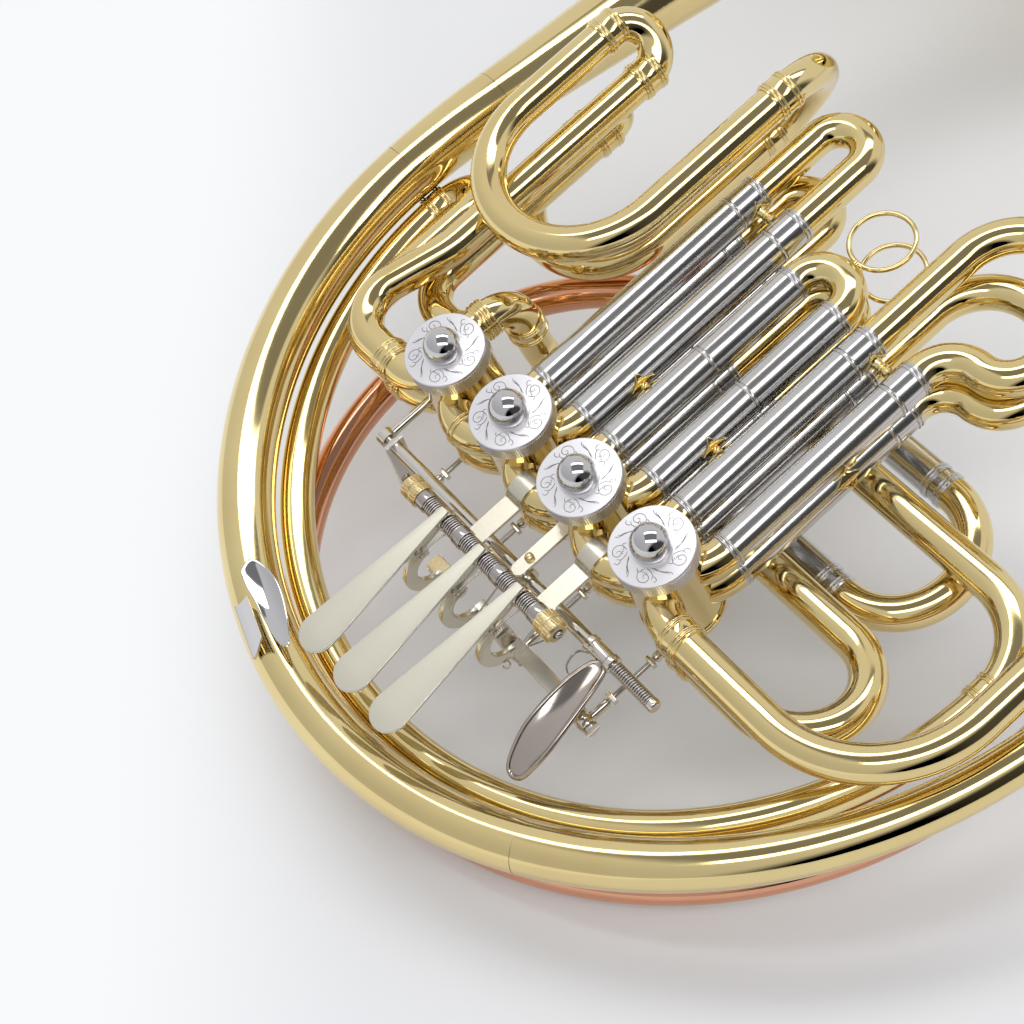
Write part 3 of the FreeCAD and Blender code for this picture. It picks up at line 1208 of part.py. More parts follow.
hook_angle = math.radians(size.hook_angle)
hook_spot = V(size.hoop_x + size.hoop_bend * math.cos(hook_angle),
              size.hoop_y + size.hoop_bend * math.sin(hook_angle), 0)
share = (210.0 - size.hook_angle) / tail_turn
tail_here = (size.branch_end_radius
             + share * (size.tail_end_radius - size.branch_end_radius))
hook_body = new_body("finger_hook_sheet")
plate_z = HOOP + tail_here
heading = math.degrees(hook_angle) - 90
pad(hook_body, "hook_plate", "XY_Plane",
    [(-20, -6.5, 6.0), (20, -6.5, 6.0), (20, 6.5, 6.0), (-20, 6.5, 6.0)], 2.4,
    plate_z - 0.6)
ring_sector(hook_body, "hook_strip", (2.0, plate_z - 0.6), size.hook_bend,
            size.hook_bend - size.hook_strip, 4, 196, size.hook_width, 0.0)
place(hook_body, flat(hook_spot.x, hook_spot.y, 0, heading))
tail_core = tube("hook_seat", [("turn", size.hoop_bend, -tail_turn)],
                 flat(tail_start.x, tail_start.y, HOOP, 120),
                 "branch_end_radius", None, "tail_end_radius")
sub_part("finger_hook", [cut("finger_hook_trimmed", hook_body, tail_core)])


def brace(name, upper_y, lower_y):
    """Brace in the groove between two sleeves: a post and a diamond plate above it."""
    middle = (upper_y + lower_y) / 2
    reach = upper_y - lower_y
    post = rod(name + "_post", size.brace_post, reach,
               along(size.brace_x, upper_y, UPPER, -Y_AXIS), "Sizes.brace_post")
    body = new_body(name + "_foot_body")
    long, wide = size.foot_length / 2, size.foot_width / 2
    pad(body, name + "_foot", "XY_Plane",
        [(size.brace_x - long, middle), (size.brace_x, middle - wide),
         (size.brace_x + long, middle), (size.brace_x, middle + wide)],
        size.foot_plate, UPPER + size.foot_rise, "Sizes.foot_plate")
    pad(body, name + "_stem", "XY_Plane",
        [(size.brace_x - 1, middle - 1), (size.brace_x + 1, middle - 1),
         (size.brace_x + 1, middle + 1), (size.brace_x - 1, middle + 1)],
        size.foot_rise, UPPER + size.foot_rise / 2, "Sizes.foot_rise")
    place(body)
    sleeves = [rod(f"{name}_seat_{n}", size.tube_radius + size.seat_gap, 40.0,
                   along(size.brace_x - 20.0, y, UPPER, X_AXIS))
               for n, y in enumerate((upper_y, lower_y))]
    return cut(name, joined(name + "_whole", [post, body]), joined(name + "_seats", sleeves))


half = size.leg_pitch / 2
sub_part("braces", [brace("brace_third", THIRD - half, SECOND + half),
                    brace("brace_second", SECOND - half, FIRST + half)])

# ---------------------------------------------------------------- check and export

doc.recompute()
for item in doc.Objects:
    if "Invalid" in item.State or "Error" in item.State:
        raise RuntimeError(f"{item.Label} did not build")
os.makedirs("parts", exist_ok=True)
for part in PARTS:
    shape = part.Shape
    if shape.isNull() or not shape.isValid() or not shape.Solids:
        raise RuntimeError(f"{part.Label} is not a sound solid")
    shape.exportStep(os.path.join("parts", part.Label + ".step"))
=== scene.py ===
import json
from math import asin, ceil, cos, hypot, pi, radians, sin, sqrt, tan, tau
import bmesh
import bpy
from bpy.props import FloatProperty, FloatVectorProperty, IntProperty, PointerProperty
from bpy.types import Operator, Panel, PropertyGroup
from mathutils import Matrix, Vector


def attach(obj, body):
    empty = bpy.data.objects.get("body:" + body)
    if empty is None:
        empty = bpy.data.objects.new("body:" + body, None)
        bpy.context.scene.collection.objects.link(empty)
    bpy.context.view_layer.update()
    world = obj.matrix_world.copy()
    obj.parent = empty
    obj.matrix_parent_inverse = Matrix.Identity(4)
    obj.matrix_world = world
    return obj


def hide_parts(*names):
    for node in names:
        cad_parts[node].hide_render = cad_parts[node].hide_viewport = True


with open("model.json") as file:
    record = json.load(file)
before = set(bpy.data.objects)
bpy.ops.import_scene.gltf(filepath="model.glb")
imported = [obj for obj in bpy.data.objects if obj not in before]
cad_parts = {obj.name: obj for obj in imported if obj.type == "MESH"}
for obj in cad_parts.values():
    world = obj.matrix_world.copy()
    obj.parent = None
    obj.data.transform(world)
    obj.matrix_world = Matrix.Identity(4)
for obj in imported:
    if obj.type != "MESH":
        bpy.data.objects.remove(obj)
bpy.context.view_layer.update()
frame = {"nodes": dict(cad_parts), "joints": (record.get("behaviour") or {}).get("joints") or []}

bl_info = {
    "name": "Double horn",
    "version": (1, 0, 0),
    "blender": (4, 5, 0),
    "location": "View3D > Sidebar > Horn",
    "description": "Tubes, valve caps, key work and finishes of a four-valve horn",
    "category": "Object",
}


def joint(name):
    """The frame's joint of a name."""
    return next(item for item in frame["joints"] if item["name"] == name)


def placed(x_way, y_way, z_way, origin):
    """The matrix that puts a piece's three ways and its origin in place."""
    matrix = Matrix((x_way, y_way, z_way)).transposed().to_4x4()
    matrix.translation = origin
    return matrix


# Lengths are in millimetres in the drawing frame: X along the valve slides, Y along the
# valve row, Z out of the caps, from the change valve's cap. LAY takes that frame to where
# the horn lies.
ALONG = Vector(joint("slide_first_upper_pull")["axis"]).normalized()
OUT = Vector(joint("rotor_first_turn")["axis"]).normalized()
ROTOR_DEPTH = 0.025
LAY = placed(ALONG, OUT.cross(ALONG), OUT,
             Vector(joint("rotor_change_turn")["pos_m"]) + OUT * ROTOR_DEPTH)
LAY = LAY @ Matrix.Scale(0.001, 4)

X, Y, Z = Vector((1, 0, 0)), Vector((0, 1, 0)), Vector((0, 0, 1))
TUBE, BORE, LEG = 6.7, 6.15, 6.10
PITCH = 38.1
CHANGE, THIRD, SECOND, FIRST = 0.0, -PITCH, -2 * PITCH, -3 * PITCH
VALVES = (("change", CHANGE), ("third", THIRD), ("second", SECOND), ("first", FIRST))
TOP, UPPER, LOWER, UNDER, HOOP, LEAD = -3.5, -17.5, -31.5, -45.5, -33.0, -60.6
DECKS = (UPPER, LOWER)
COLUMN, HALF_LEGS, LEG_START = 13.0, 10.75, 17.5
EIGHTH = tan(radians(22.5))
PORT_BEND = (PITCH / 2 - COLUMN) / EIGHTH
LEG_BEND = (LEG_START - HALF_LEGS) / EIGHTH
HOOP_AT, HOOP_BEND, INNER_BEND = Vector((46.0, -64.0, 0)), 164.0, 149.0
AXLE_X, AXLE_Z, BALL_Z = -41.0, -10.0, -52.0
ARM_X, THUMB_X, THUMB_Z, THUMB_BALL_X = -52.0, -34.0, -24.0, -38.0
KEY_ROWS = (-46.7, -67.7, -88.7)
BETWEEN = (-36.2, -57.2, -78.2, -99.2)
ROD_SIDE = 6.5 / sqrt(2)
EAR_ASIDE = 4.0
TUNING_LEGS, TUNING_Y, TUNING_SLEEVE = (42.0, 94.0), -60.0, 79.0
LEG_INSIDE, LEG_LENGTH, SLIDE_GAP = 38.0, 40.0, 0.4


# ------------------------------------------------------------------ settings

def setting(kind, name, default, low, high, text):
    """A whole or decimal number that a user can change."""
    return kind(name=name, default=default, min=low, max=high, description=text)


def colour_setting(name, default, text):
    """A colour that a user can change."""
    return FloatVectorProperty(name=name, subtype="COLOR", size=3, default=default,
                               min=0.0, max=1.0, description=text)


class HornTubes(PropertyGroup):
    """Sizes of the tubing and its trim"""
    sides: setting(IntProperty, "Tube sides", 56, 12, 96, "Faces round each tube")
    bead: setting(FloatProperty, "Bead height", 0.42, 0.0, 1.5,
                  "Height of a ferrule's bead, in millimetres")
    step: setting(FloatProperty, "Bend step", 3.0, 1.0, 10.0,
                  "Degrees between the rings of a bend")


class HornKeys(PropertyGroup):
    """Sizes of the key work"""
    wire: setting(FloatProperty, "Spring wire", 0.34, 0.2, 0.8,
                  "Radius of the return springs' wire, in millimetres")
    wire_gap: setting(FloatProperty, "Spring gap", 0.45, 0.05, 2.0,
                      "Space between the coils' turns, in millimetres")
    knurls: setting(IntProperty, "Cap knurls", 110, 24, 160,
                    "Ridges round each valve cap")
    nut_knurls: setting(IntProperty, "Nut knurls", 26, 12, 80,
                        "Ridges round each axle nut")


class HornFinish(PropertyGroup):
    """Colours of the metals"""
    brass: colour_setting("Lacquered brass", (0.85, 0.72, 0.36),
                          "Colour of the lacquered tubes")
    red_brass: colour_setting("Red brass", (0.80, 0.42, 0.27), "Colour of the leadpipe")
    nickel: colour_setting("Nickel silver", (0.64, 0.645, 0.65),
                           "Colour of the slides and sleeves")
    keys: colour_setting("Satin keys", (0.77, 0.75, 0.64),
                         "Colour of the satin key plates")
    steel: colour_setting("Spring steel", (0.66, 0.66, 0.68), "Colour of the springs")


class HornStage(PropertyGroup):
    """Floor and lamps"""
    floor: colour_setting("Floor", (0.90, 0.91, 0.94), "Colour of the floor")
    lamp: setting(FloatProperty, "Lamp glow", 3.3, 0.0, 50.0,
                  "Brightness of the two long ceiling lamps")
    tent: setting(FloatProperty, "Tent glow", 0.80, 0.0, 5.0,
                  "Brightness of the white cloth round the stage")


# ------------------------------------------------------------------ node trees

class Maths:
    """A shader or geometry socket that takes part in Python sums."""

    def __init__(self, nodes, socket):
        self.nodes = nodes
        self.socket = socket

    def _sum(self, operation, first, second):
        return self.nodes.add("ShaderNodeMath", {0: first, 1: second},
                              operation=operation)

    def __add__(self, other):
        return self._sum("ADD", self, other)

    __radd__ = __add__

    def __mul__(self, other):
        return self._sum("MULTIPLY", self, other)

    __rmul__ = __mul__

    def __sub__(self, other):
        return self._sum("SUBTRACT", self, other)

    def __rsub__(self, other):
        return self._sum("SUBTRACT", other, self)

    def __truediv__(self, other):
        return self._sum("DIVIDE", self, other)

    def __abs__(self):
        return self._sum("ABSOLUTE", self, 0.0)

    def step(self, low, high):
        """0 below the low value, 1 above the high one, smooth between."""
        return self.nodes.add("ShaderNodeMapRange", {0: self, 1: low, 2: high},
                              interpolation_type="SMOOTHSTEP")


class Nodes:
    """Adds nodes to a tree."""

    def __init__(self, tree):
        self.tree = tree

    def add(self, kind, inputs=None, output=0, **settings):
        """A node of a kind: its settings first, then its sockets' values or links."""
        node = self.tree.nodes.new(kind)
        for key, value in settings.items():
            setattr(node, key, value)
        for key, value in (inputs or {}).items():
            if isinstance(value, Maths):
                self.tree.links.new(value.socket, node.inputs[key])
            else:
                node.inputs[key].default_value = value
        return node if output is None else Maths(self, node.outputs[output])

    def dot(self, first, second):
        return self.add("ShaderNodeVectorMath", {0: first, 1: second}, "Value",
                        operation="DOT_PRODUCT")

    def circle(self, count, radius):
        return self.add("GeometryNodeCurvePrimitiveCircle",
                        {"Resolution": count, "Radius": radius}, mode="RADIUS")


def shader(owner):
    """The emptied node tree of a material or a world."""
    owner.use_nodes = True
    owner.node_tree.nodes.clear()
    return Nodes(owner.node_tree)


def new_tree(name, inputs):
    """A geometry tree with a geometry socket at each end and the named inputs."""
    tree = bpy.data.node_groups.new(name, "GeometryNodeTree")
    face = tree.interface
    face.new_socket("Geometry", in_out="INPUT", socket_type="NodeSocketGeometry")
    for label, kind, value in inputs:
        socket = face.new_socket(label, in_out="INPUT", socket_type=kind)
        if value is not None:
            socket.default_value = value
    face.new_socket("Geometry", in_out="OUTPUT", socket_type="NodeSocketGeometry")
    nodes = Nodes(tree)
    source = nodes.add("NodeGroupInput", output=None)
    ends = {item.name: Maths(nodes, item) for item in source.outputs if item.name}
    return nodes, ends


def close_tree(nodes, geometry, ends):
    """Realize Instances and Set Material end every tree."""
    solid = nodes.add("GeometryNodeRealizeInstances", {"Geometry": geometry})
    dressed = nodes.add("GeometryNodeSetMaterial",
                        {"Geometry": solid, "Material": ends["Material"]})
    nodes.add("NodeGroupOutput", {"Geometry": dressed}, output=None)
    return nodes.tree


def close_skin(nodes, ends, curve, ring, **scale):
    """Ends a tree with a smooth skin: a ring that runs along a curve."""
    skin = nodes.add("GeometryNodeCurveToMesh",
                     {"Curve": curve, "Profile Curve": ring, **scale, "Fill Caps": True})
    smooth = nodes.add("GeometryNodeSetShadeSmooth", {"Geometry": skin})
    return close_tree(nodes, smooth, ends)


def swept_tube_tree():
    """A round tube along each spline; the splines' point radii are its radii."""
    nodes, ends = new_tree("Swept tube", (("Unit", "NodeSocketFloat", 1.0),
                                          ("Sides", "NodeSocketInt", 48),
                                          ("Material", "NodeSocketMaterial", None)))
    ring = nodes.circle(ends["Sides"], ends["Unit"])
    return close_skin(nodes, ends, ends["Geometry"], ring,
                      Scale=nodes.add("GeometryNodeInputRadius"))


def coil_tree():
    """A coil spring standing on Z from 0 to its length."""
    nodes, ends = new_tree("Coil spring", (("Turns", "NodeSocketFloat", 10.0),
                                           ("Coil radius", "NodeSocketFloat", 3.0),
                                           ("Length", "NodeSocketFloat", 8.0),
                                           ("Wire radius", "NodeSocketFloat", 0.4),
                                           ("Material", "NodeSocketMaterial", None)))
    radius = ends["Coil radius"]
    spiral = nodes.add("GeometryNodeCurveSpiral",
                       {"Resolution": 28, "Rotations": ends["Turns"],
                        "Start Radius": radius, "End Radius": radius,
                        "Height": ends["Length"]})
    return close_skin(nodes, ends, spiral, nodes.circle(10, ends["Wire radius"]))


def ring_of_tree():
    """The incoming mesh, repeated round Z."""
    nodes, ends = new_tree("Ring of pieces", (("Count", "NodeSocketInt", 12),
                                              ("Radius", "NodeSocketFloat", 10.0),
                                              ("Material", "NodeSocketMaterial", None)))
    ring = nodes.circle(ends["Count"], ends["Radius"])
    spots = nodes.add("GeometryNodeCurveToPoints", {"Curve": ring}, "Points",
                      mode="EVALUATED")
    turn = nodes.add("FunctionNodeAlignRotationToVector",
                     {"Vector": nodes.add("GeometryNodeInputPosition")},
                     axis="X", pivot_axis="Z")
    copies = nodes.add("GeometryNodeInstanceOnPoints",
                       {"Points": spots, "Instance": ends["Geometry"], "Rotation": turn})
    return close_tree(nodes, copies, ends)


TREES = {}


def tree(maker):
    """The node tree that a maker builds, made once."""
    if maker not in TREES:
        TREES[maker] = maker()
    return TREES[maker]


def settled(item):
    """The plain mesh that an object's modifiers make of it."""
    bpy.context.view_layer.update()
    depsgraph = bpy.context.evaluated_depsgraph_get()
    return bpy.data.meshes.new_from_object(item.evaluated_get(depsgraph),
                                           depsgraph=depsgraph)


def discard(item):
    """Removes an object and its data."""
    held = item.data
    bpy.data.objects.remove(item)
    kinds = bpy.data.curves if isinstance(held, bpy.types.Curve) else bpy.data.meshes
    kinds.remove(held)


def grown(source, maker, metal, **values):
    """The plain mesh that a tree grows on an object, which is then removed."""
    group = tree(maker)
    values["Material"] = metal.material
    modifier = source.modifiers.new(group.name, "NODES")
    modifier.node_group = group
    for item in group.interface.items_tree:
        label = item.name.replace(" ", "_")
        if item.item_type == "SOCKET" and item.in_out == "INPUT" and label in values:
            modifier[item.identifier] = values[label]
    mesh = settled(source)
    source.modifiers.remove(modifier)
    discard(source)
    return mesh


def loose(name, data):
    """A new object in the scene."""
    item = bpy.data.objects.new(name, data)
    bpy.context.scene.collection.objects.link(item)
    return item


# ------------------------------------------------------------------ mesh helpers

class Run:
    """A tube's centre line, drawn from straight runs and bends."""

    def __init__(self, start, ahead, radius=TUBE):
        self.at = Vector(start)
        self.ahead = Vector(ahead).normalized()
        self.points = [self.at.copy()]
        self.radius = radius
        self.widths = None

    def go(self, length):
        """Straight on for a length."""
        if length > 1e-6:
            self.at = self.at + self.ahead * length
            self.points.append(self.at.copy())
        return self

    def bend(self, radius, degrees, toward):
        """Turns through some degrees towards a side."""
        side = Vector(toward)
        side = (side - self.ahead * side.dot(self.ahead)).normalized()
        centre = self.at + side * radius
        step = bpy.context.scene.horn_tubes.step
        count = max(4, ceil(degrees / step))
        if radius > 60:
            count = max(count, ceil(degrees / 1.5))
        begin, ahead = self.at - centre, self.ahead.copy()
        for n in range(1, count + 1):
            angle = radians(degrees) * n / count
            self.points.append(centre + begin * cos(angle)
                               + ahead * radius * sin(angle))
        angle = radians(degrees)
        self.at = self.points[-1].copy()
        self.ahead = (ahead * cos(angle) + side * sin(angle)).normalized()
        return self

    def bow(self, end):
        """A half circle to a point beside the tube."""
        chord = Vector(end) - self.at
        return self.bend(chord.length / 2, 180, chord)

    def taper(self, begin, end):
        """Grows evenly along its length from one radius to another."""
        lengths = [0.0]
        for before, after in zip(self.points, self.points[1:]):
            lengths.append(lengths[-1] + (after - before).length)
        self.widths = [begin + (end - begin) * reach / lengths[-1] for reach in lengths]
        return self

    def line(self):
        """Its points and the radius at each."""
        return self.points, self.widths or [self.radius] * len(self.points)

    def split(self):
        """Adds points on long straights, so that a taper is even."""
        points = [self.points[0]]
        for before, after in zip(self.points, self.points[1:]):
            count = max(1, ceil((after - before).length / 12.0))
            points += [before.lerp(after, n / count) for n in range(1, count + 1)]
        self.points = points
        return self


def swept(lines, metal, sides=None):
    """One mesh of round tubes along lines, each a pair of its points and their radii."""
    curve = bpy.data.curves.new("swept", "CURVE")
    curve.dimensions = "3D"
    for points, radii in lines:
        spline = curve.splines.new("POLY")
        spline.points.add(len(points) - 1)
        for spot, point, radius in zip(spline.points, points, radii):
            spot.co = (*point, 1)
            spot.radius = radius
    return grown(loose("swept", curve), swept_tube_tree, metal, Unit=1.0,
                 Sides=sides or bpy.context.scene.horn_tubes.sides)


def tubing(name, runs, metal, body="horn", replaces=(), sides=None):
    """A piece of tube, or several, along runs."""
    mesh = swept([run.line() for run in runs], metal, sides)
    return piece(name, mesh, body, metal, replaces)


def polar(radius, angle, centre=(0, 0)):
    """The place at a distance and an angle from a centre."""
    return (centre[0] + radius * cos(angle), centre[1] + radius * sin(angle))


def box(left, right, low, high):
    """The outline of a rectangle."""
    return [(left, low), (right, low), (right, high), (left, high)]


def rounded(profile, size, steps=3):
    """A closed outline with its corners eased by a small radius."""
    points = [Vector(point) for point in profile]
    result = []
    count = len(points)
    for n, here in enumerate(points):
        before, after = points[n - 1], points[(n + 1) % count]
        back, ahead = before - here, after - here
        reach = min(size, 0.45 * back.length, 0.45 * ahead.length)
        on_axis = abs(here.x) < 1e-6
        if on_axis or reach < 1e-4 or back.angle(ahead) > radians(172):
            result.append(tuple(here))
            continue
        enter, leave = here + back.normalized() * reach, here + ahead.normalized() * reach
        for k in range(steps + 1):
            t = k / steps
            result.append(tuple(enter * (1 - t) ** 2 + here * 2 * t * (1 - t)
                                + leave * t ** 2))
    return result


def frame_at(origin, z_way, x_way=None):
    """A matrix that stands a piece's Z along a direction."""
    z_way = Vector(z_way).normalized()
    hint = Vector(x_way) if x_way is not None else (X if abs(z_way.x) < 0.9 else Y)
    x_way = (hint - z_way * hint.dot(z_way)).normalized()
    return placed(x_way, z_way.cross(x_way), z_way, Vector(origin))


def lathe(profile, origin=(0, 0, 0), z_way=Z, sides=64, ease=0.12):
    """A turned piece: a closed outline of (radius, height) corners spun about Z."""
    outline = rounded(profile, ease) if ease else [tuple(p) for p in profile]
    work = bmesh.new()
    rings = []
    for radius, height in outline:
        if radius < 1e-6:
            rings.append([work.verts.new((0, 0, height))] * sides)
        else:
            rings.append([work.verts.new((*polar(radius, tau * n / sides), height))
                          for n in range(sides)])
    for low, high in zip(rings, rings[1:] + rings[:1]):
        for n in range(sides):
            corners = [low[n], low[(n + 1) % sides], high[(n + 1) % sides], high[n]]
            distinct = list(dict.fromkeys(corners))
            if len(distinct) > 2:
                work.faces.new(distinct)
    bmesh.ops.recalc_face_normals(work, faces=work.faces)
    work.transform(frame_at(origin, z_way))
    return to_mesh("turned", work)


def to_mesh(name, work):
    """A mesh from a working mesh, which is then freed."""
    mesh = bpy.data.meshes.new(name)
    work.to_mesh(mesh)
    work.free()
    return mesh


def plate(outline, thickness, matrix, ease=0.3, steps=3):
    """A sheet-metal plate from a flat outline, its edges eased."""
    work = bmesh.new()
    verts = [work.verts.new((x, y, -thickness / 2)) for x, y in outline]
    face = work.faces.new(verts)
    grown_part = bmesh.ops.extrude_face_region(work, geom=[face])
    lifted = [item for item in grown_part["geom"] if isinstance(item, bmesh.types.BMVert)]
    bmesh.ops.translate(work, verts=lifted, vec=(0, 0, thickness))
    bmesh.ops.recalc_face_normals(work, faces=work.faces)
    if ease:
        rims = [edge for edge in work.edges
                if abs(edge.verts[0].co.z - edge.verts[1].co.z) < 1e-6]
        bmesh.ops.bevel(work, geom=rims, offset=ease, segments=steps, profile=0.5,
                        affect="EDGES", clamp_overlap=True)
    work.transform(matrix)
    return to_mesh("plate", work)


def shell(outline, shape, thickness, rings=6):
    """A thin closed plate bent by a rule that takes (u, v, height) to a place."""
    work = bmesh.new()
    count = len(outline)
    middle = sum((Vector(spot) for spot in outline), Vector((0, 0))) / count
    rims = []
    for height in (thickness / 2, -thickness / 2):
        deck = []
        for k in range(rings):
            share = 1 - 0.04 * k if k < 3 else (rings - k) / (rings - 2.1)
            thin = height * (0.55, 0.9, 1.0)[min(k, 2)]
            spots = [middle + (Vector(spot) - middle) * share for spot in outline]
            deck.append([work.verts.new(shape(spot.x, spot.y, thin)) for spot in spots])
        hub = work.verts.new(shape(middle.x, middle.y, height))
        for n in range(count):
            m = (n + 1) % count
            for outer, inner in zip(deck, deck[1:]):
                work.faces.new((outer[n], outer[m], inner[m], inner[n]))
            work.faces.new((deck[-1][n], deck[-1][m], hub))
        rims.append(deck[0])
    for n in range(count):
        m = (n + 1) % count
        work.faces.new((rims[0][n], rims[0][m], rims[1][m], rims[1][n]))
    bmesh.ops.recalc_face_normals(work, faces=work.faces)
    return to_mesh("shell", work)


def curve_points(controls, closed=False, steps=8):
    """Smooth points through a few controls."""
    points = [Vector(control) for control in controls]
    count = len(points)
    spans = count if closed else count - 1
    result = []
    for n in range(spans):
        if closed:
            a, b, c, d = (points[(n + k) % count] for k in (-1, 0, 1, 2))
        else:
            b, c = points[n], points[n + 1]
            a = points[n - 1] if n else b * 2 - c
            d = points[n + 2] if n + 2 < count else c * 2 - b
        for k in range(steps):
            t = k / steps
            result.append((b * 2 + (c - a) * t + (a * 2 - b * 5 + c * 4 - d) * t ** 2
                           + (b * 3 - a - c * 3 + d) * t ** 3) / 2)
    if not closed:
        result.append(points[-1])
    return result


def smooth_outline(controls, steps):
    """A closed flat outline through a few (x, y) controls."""
    points = curve_points([(x, y, 0) for x, y in controls], closed=True, steps=steps)
    return [(spot.x, spot.y) for spot in points]


def joined(meshes):
    """Several meshes as one."""
    work = bmesh.new()
    for mesh in meshes:
        work.from_mesh(mesh)
        bpy.data.meshes.remove(mesh)
    return to_mesh("joined", work)


def piece(name, mesh, body, metal, replaces=(), angle=35.0):
    """Puts a mesh on the horn, riding on a body. One named as a node replaces it."""
    if name in frame["nodes"]:
        replaces = (name,)
        name += "_form"
    item = loose(name, mesh)
    mesh.name = name
    mesh.transform(LAY)
    mesh.materials.clear()
    mesh.materials.append(metal.material)
    mesh.polygons.foreach_set("use_smooth", [True] * len(mesh.polygons))
    mesh.set_sharp_from_angle(angle=radians(angle))
    mesh.update()
    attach(item, body)
    if replaces:
        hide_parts(*replaces)
    return item


# ------------------------------------------------------------------ finishes

class Finish:
    """A material and the record's slot that it belongs to."""

    def __init__(self, material, slot):
        self.material = material
        self.slot = slot


def metal(name, slot, colour, rough, spread=0.03, wave=0.15, grain=0.0, shade=0.88,
          coat=0.0, metallic=1.0):
    """A metal with a slow colour drift, uneven polish, a faint ripple and a grain."""
    material = bpy.data.materials.new(name)
    nodes = shader(material)
    place = nodes.add("ShaderNodeTexCoord", output="Object")

    def noise(scale, detail, **more):
        return nodes.add("ShaderNodeTexNoise", {"Vector": place, "Scale": scale,
                                                "Detail": detail, **more}, "Fac")

    drift, ripple = noise(28.0, 2.0), noise(85.0, 1.0)
    fine = noise(2400.0, 3.0, Roughness=0.7)
    light = (*colour, 1.0)
    dark = (colour[0] * shade, colour[1] * shade * shade, colour[2] * shade ** 3, 1.0)
    tint = nodes.add("ShaderNodeMix", {0: drift, 6: dark, 7: light}, 2, data_type="RGBA")
    polish = drift * spread + fine * spread + (rough - spread)
    height = ripple * wave + fine * grain
    normal = nodes.add("ShaderNodeBump", {"Height": height, "Strength": 0.35,
                                          "Distance": 0.0006}, "Normal")
    surface = nodes.add("ShaderNodeBsdfPrincipled", {
        "Base Color": tint, "Metallic": metallic, "Roughness": polish,
        "Coat Weight": coat, "Coat Roughness": 0.04, "Normal": normal}, "BSDF")
    nodes.add("ShaderNodeOutputMaterial", {"Surface": surface}, output=None)
    return Finish(material, slot)


# Each finish: its material, its slot, its colour or the setting that holds it, how rough
# it is, and what else sets it apart.
RECIPES = {
    "brass": ("lacquered_brass", "lacquered_brass", "brass", 0.09, {"coat": 0.25}),
    "red_brass": ("red_brass", "red_brass", "red_brass", 0.11, {"coat": 0.2}),
    "nickel": ("polished_nickel", "nickel_silver", "nickel", 0.17,
               {"spread": 0.02, "wave": 0.02, "shade": 0.95}),
    "keys": ("satin_nickel", "key_nickel", "keys", 0.42,
             {"spread": 0.06, "wave": 0.05, "grain": 0.03, "shade": 0.97}),
    "arms": ("satin_arm", "key_nickel", (0.74, 0.71, 0.60), 0.26,
             {"spread": 0.05, "wave": 0.05, "grain": 0.02, "shade": 0.96}),
    "cap": ("satin_silver", "cap_silver", (0.78, 0.775, 0.81), 0.34,
            {"spread": 0.04, "wave": 0.01, "grain": 0.02, "shade": 0.98}),
    "mirror": ("mirror_nickel", "cap_silver", (0.62, 0.62, 0.64), 0.05,
               {"spread": 0.01, "wave": 0.03, "shade": 0.97}),
    "bright_key": ("polished_key", "key_nickel", (0.72, 0.70, 0.66), 0.10,
                   {"wave": 0.05, "shade": 0.95}),
    # The spoon's darker brownish nickel is painted reflection: the same key nickel, darkened to
    # show the brass and surroundings mirrored in its dish.
    "spoon": ("spoon_nickel", "key_nickel", (0.50, 0.46, 0.43), 0.14,
              {"wave": 0.05, "shade": 0.9}),
    # Engraving lines are raised and coloured near black as painted shade: they stand for cut
    # grooves and the shade that falls in them.
    "engraved": ("engraved_line", "cap_silver", (0.16, 0.15, 0.15), 0.55,
                 {"spread": 0.05, "wave": 0.0, "metallic": 0.4}),
    "steel": ("spring_steel", "spring_steel", "steel", 0.20,
              {"spread": 0.05, "wave": 0.0}),
    "rod_steel": ("rod_steel", "key_nickel", (0.50, 0.50, 0.51), 0.16,
                  {"spread": 0.04, "wave": 0.02}),
    # Near-black steel is painted shade: it colours the axle under the springs so that the gaps
    # between the coils read dark.
    "dark_steel": ("dark_steel", "spring_steel", (0.13, 0.12, 0.12), 0.3,
                   {"spread": 0.05, "wave": 0.0}),
    "nut": ("nut_brass", "lacquered_brass", (0.86, 0.75, 0.46), 0.28,
            {"spread": 0.05, "wave": 0.0, "grain": 0.02}),
    "bumper": ("bumper", "bumper", (0.03, 0.03, 0.03), 0.7,
               {"spread": 0.1, "wave": 0.0, "grain": 0.3, "metallic": 0.0}),
}
FINISHES = {}


def finish(name):
    """One of the horn's finishes, made when first asked for."""
    if name not in FINISHES:
        title, slot, colour, rough, rest = RECIPES[name]
        if isinstance(colour, str):
            colour = getattr(bpy.context.scene.horn_finish, colour)
        FINISHES[name] = metal(title, slot, colour, rough, **rest)
    return FINISHES[name]


def dress(node, name):
    """Gives a packed node its finish."""
    item = frame["nodes"][node]
    item.data.materials.clear()
    item.data.materials.append(finish(name).material)


# ------------------------------------------------------------------ trim

BEAD_PITCH = 1.17


def bands(inner, outer, start, length, beads):
    """Half outline of a sleeve with raised beads."""
    width = 0.9
    bead = bpy.context.scene.horn_tubes.bead
    outline = [(inner, start), (inner, start + length), (outer, start + length)]
    for height in sorted(beads, reverse=True):
        outline.append((outer, height + width / 2))
        outline += [(outer + bead * sin(pi * k / 6), height + width / 2 * cos(pi * k / 6))
                    for k in range(1, 6)]
        outline.append((outer, height - width / 2))
    return outline + [(outer, start)]


def pair(start, length, first=True, last=True):
    """The places of two beads at a sleeve's start, and of two at its end."""
    places = []
    if first:
        places += [start + BEAD_PITCH, start + 2.2 * BEAD_PITCH]
    if last:
        places += [start + length - BEAD_PITCH, start + length - 2.2 * BEAD_PITCH]
    return places


def collar(origin, z_way, length):
    """A beaded ferrule centred on a tube joint."""
    return lathe(bands(TUBE - 0.3, TUBE + 0.65, -length / 2, length,
                       pair(-length / 2, length)), origin, z_way, ease=0.1)


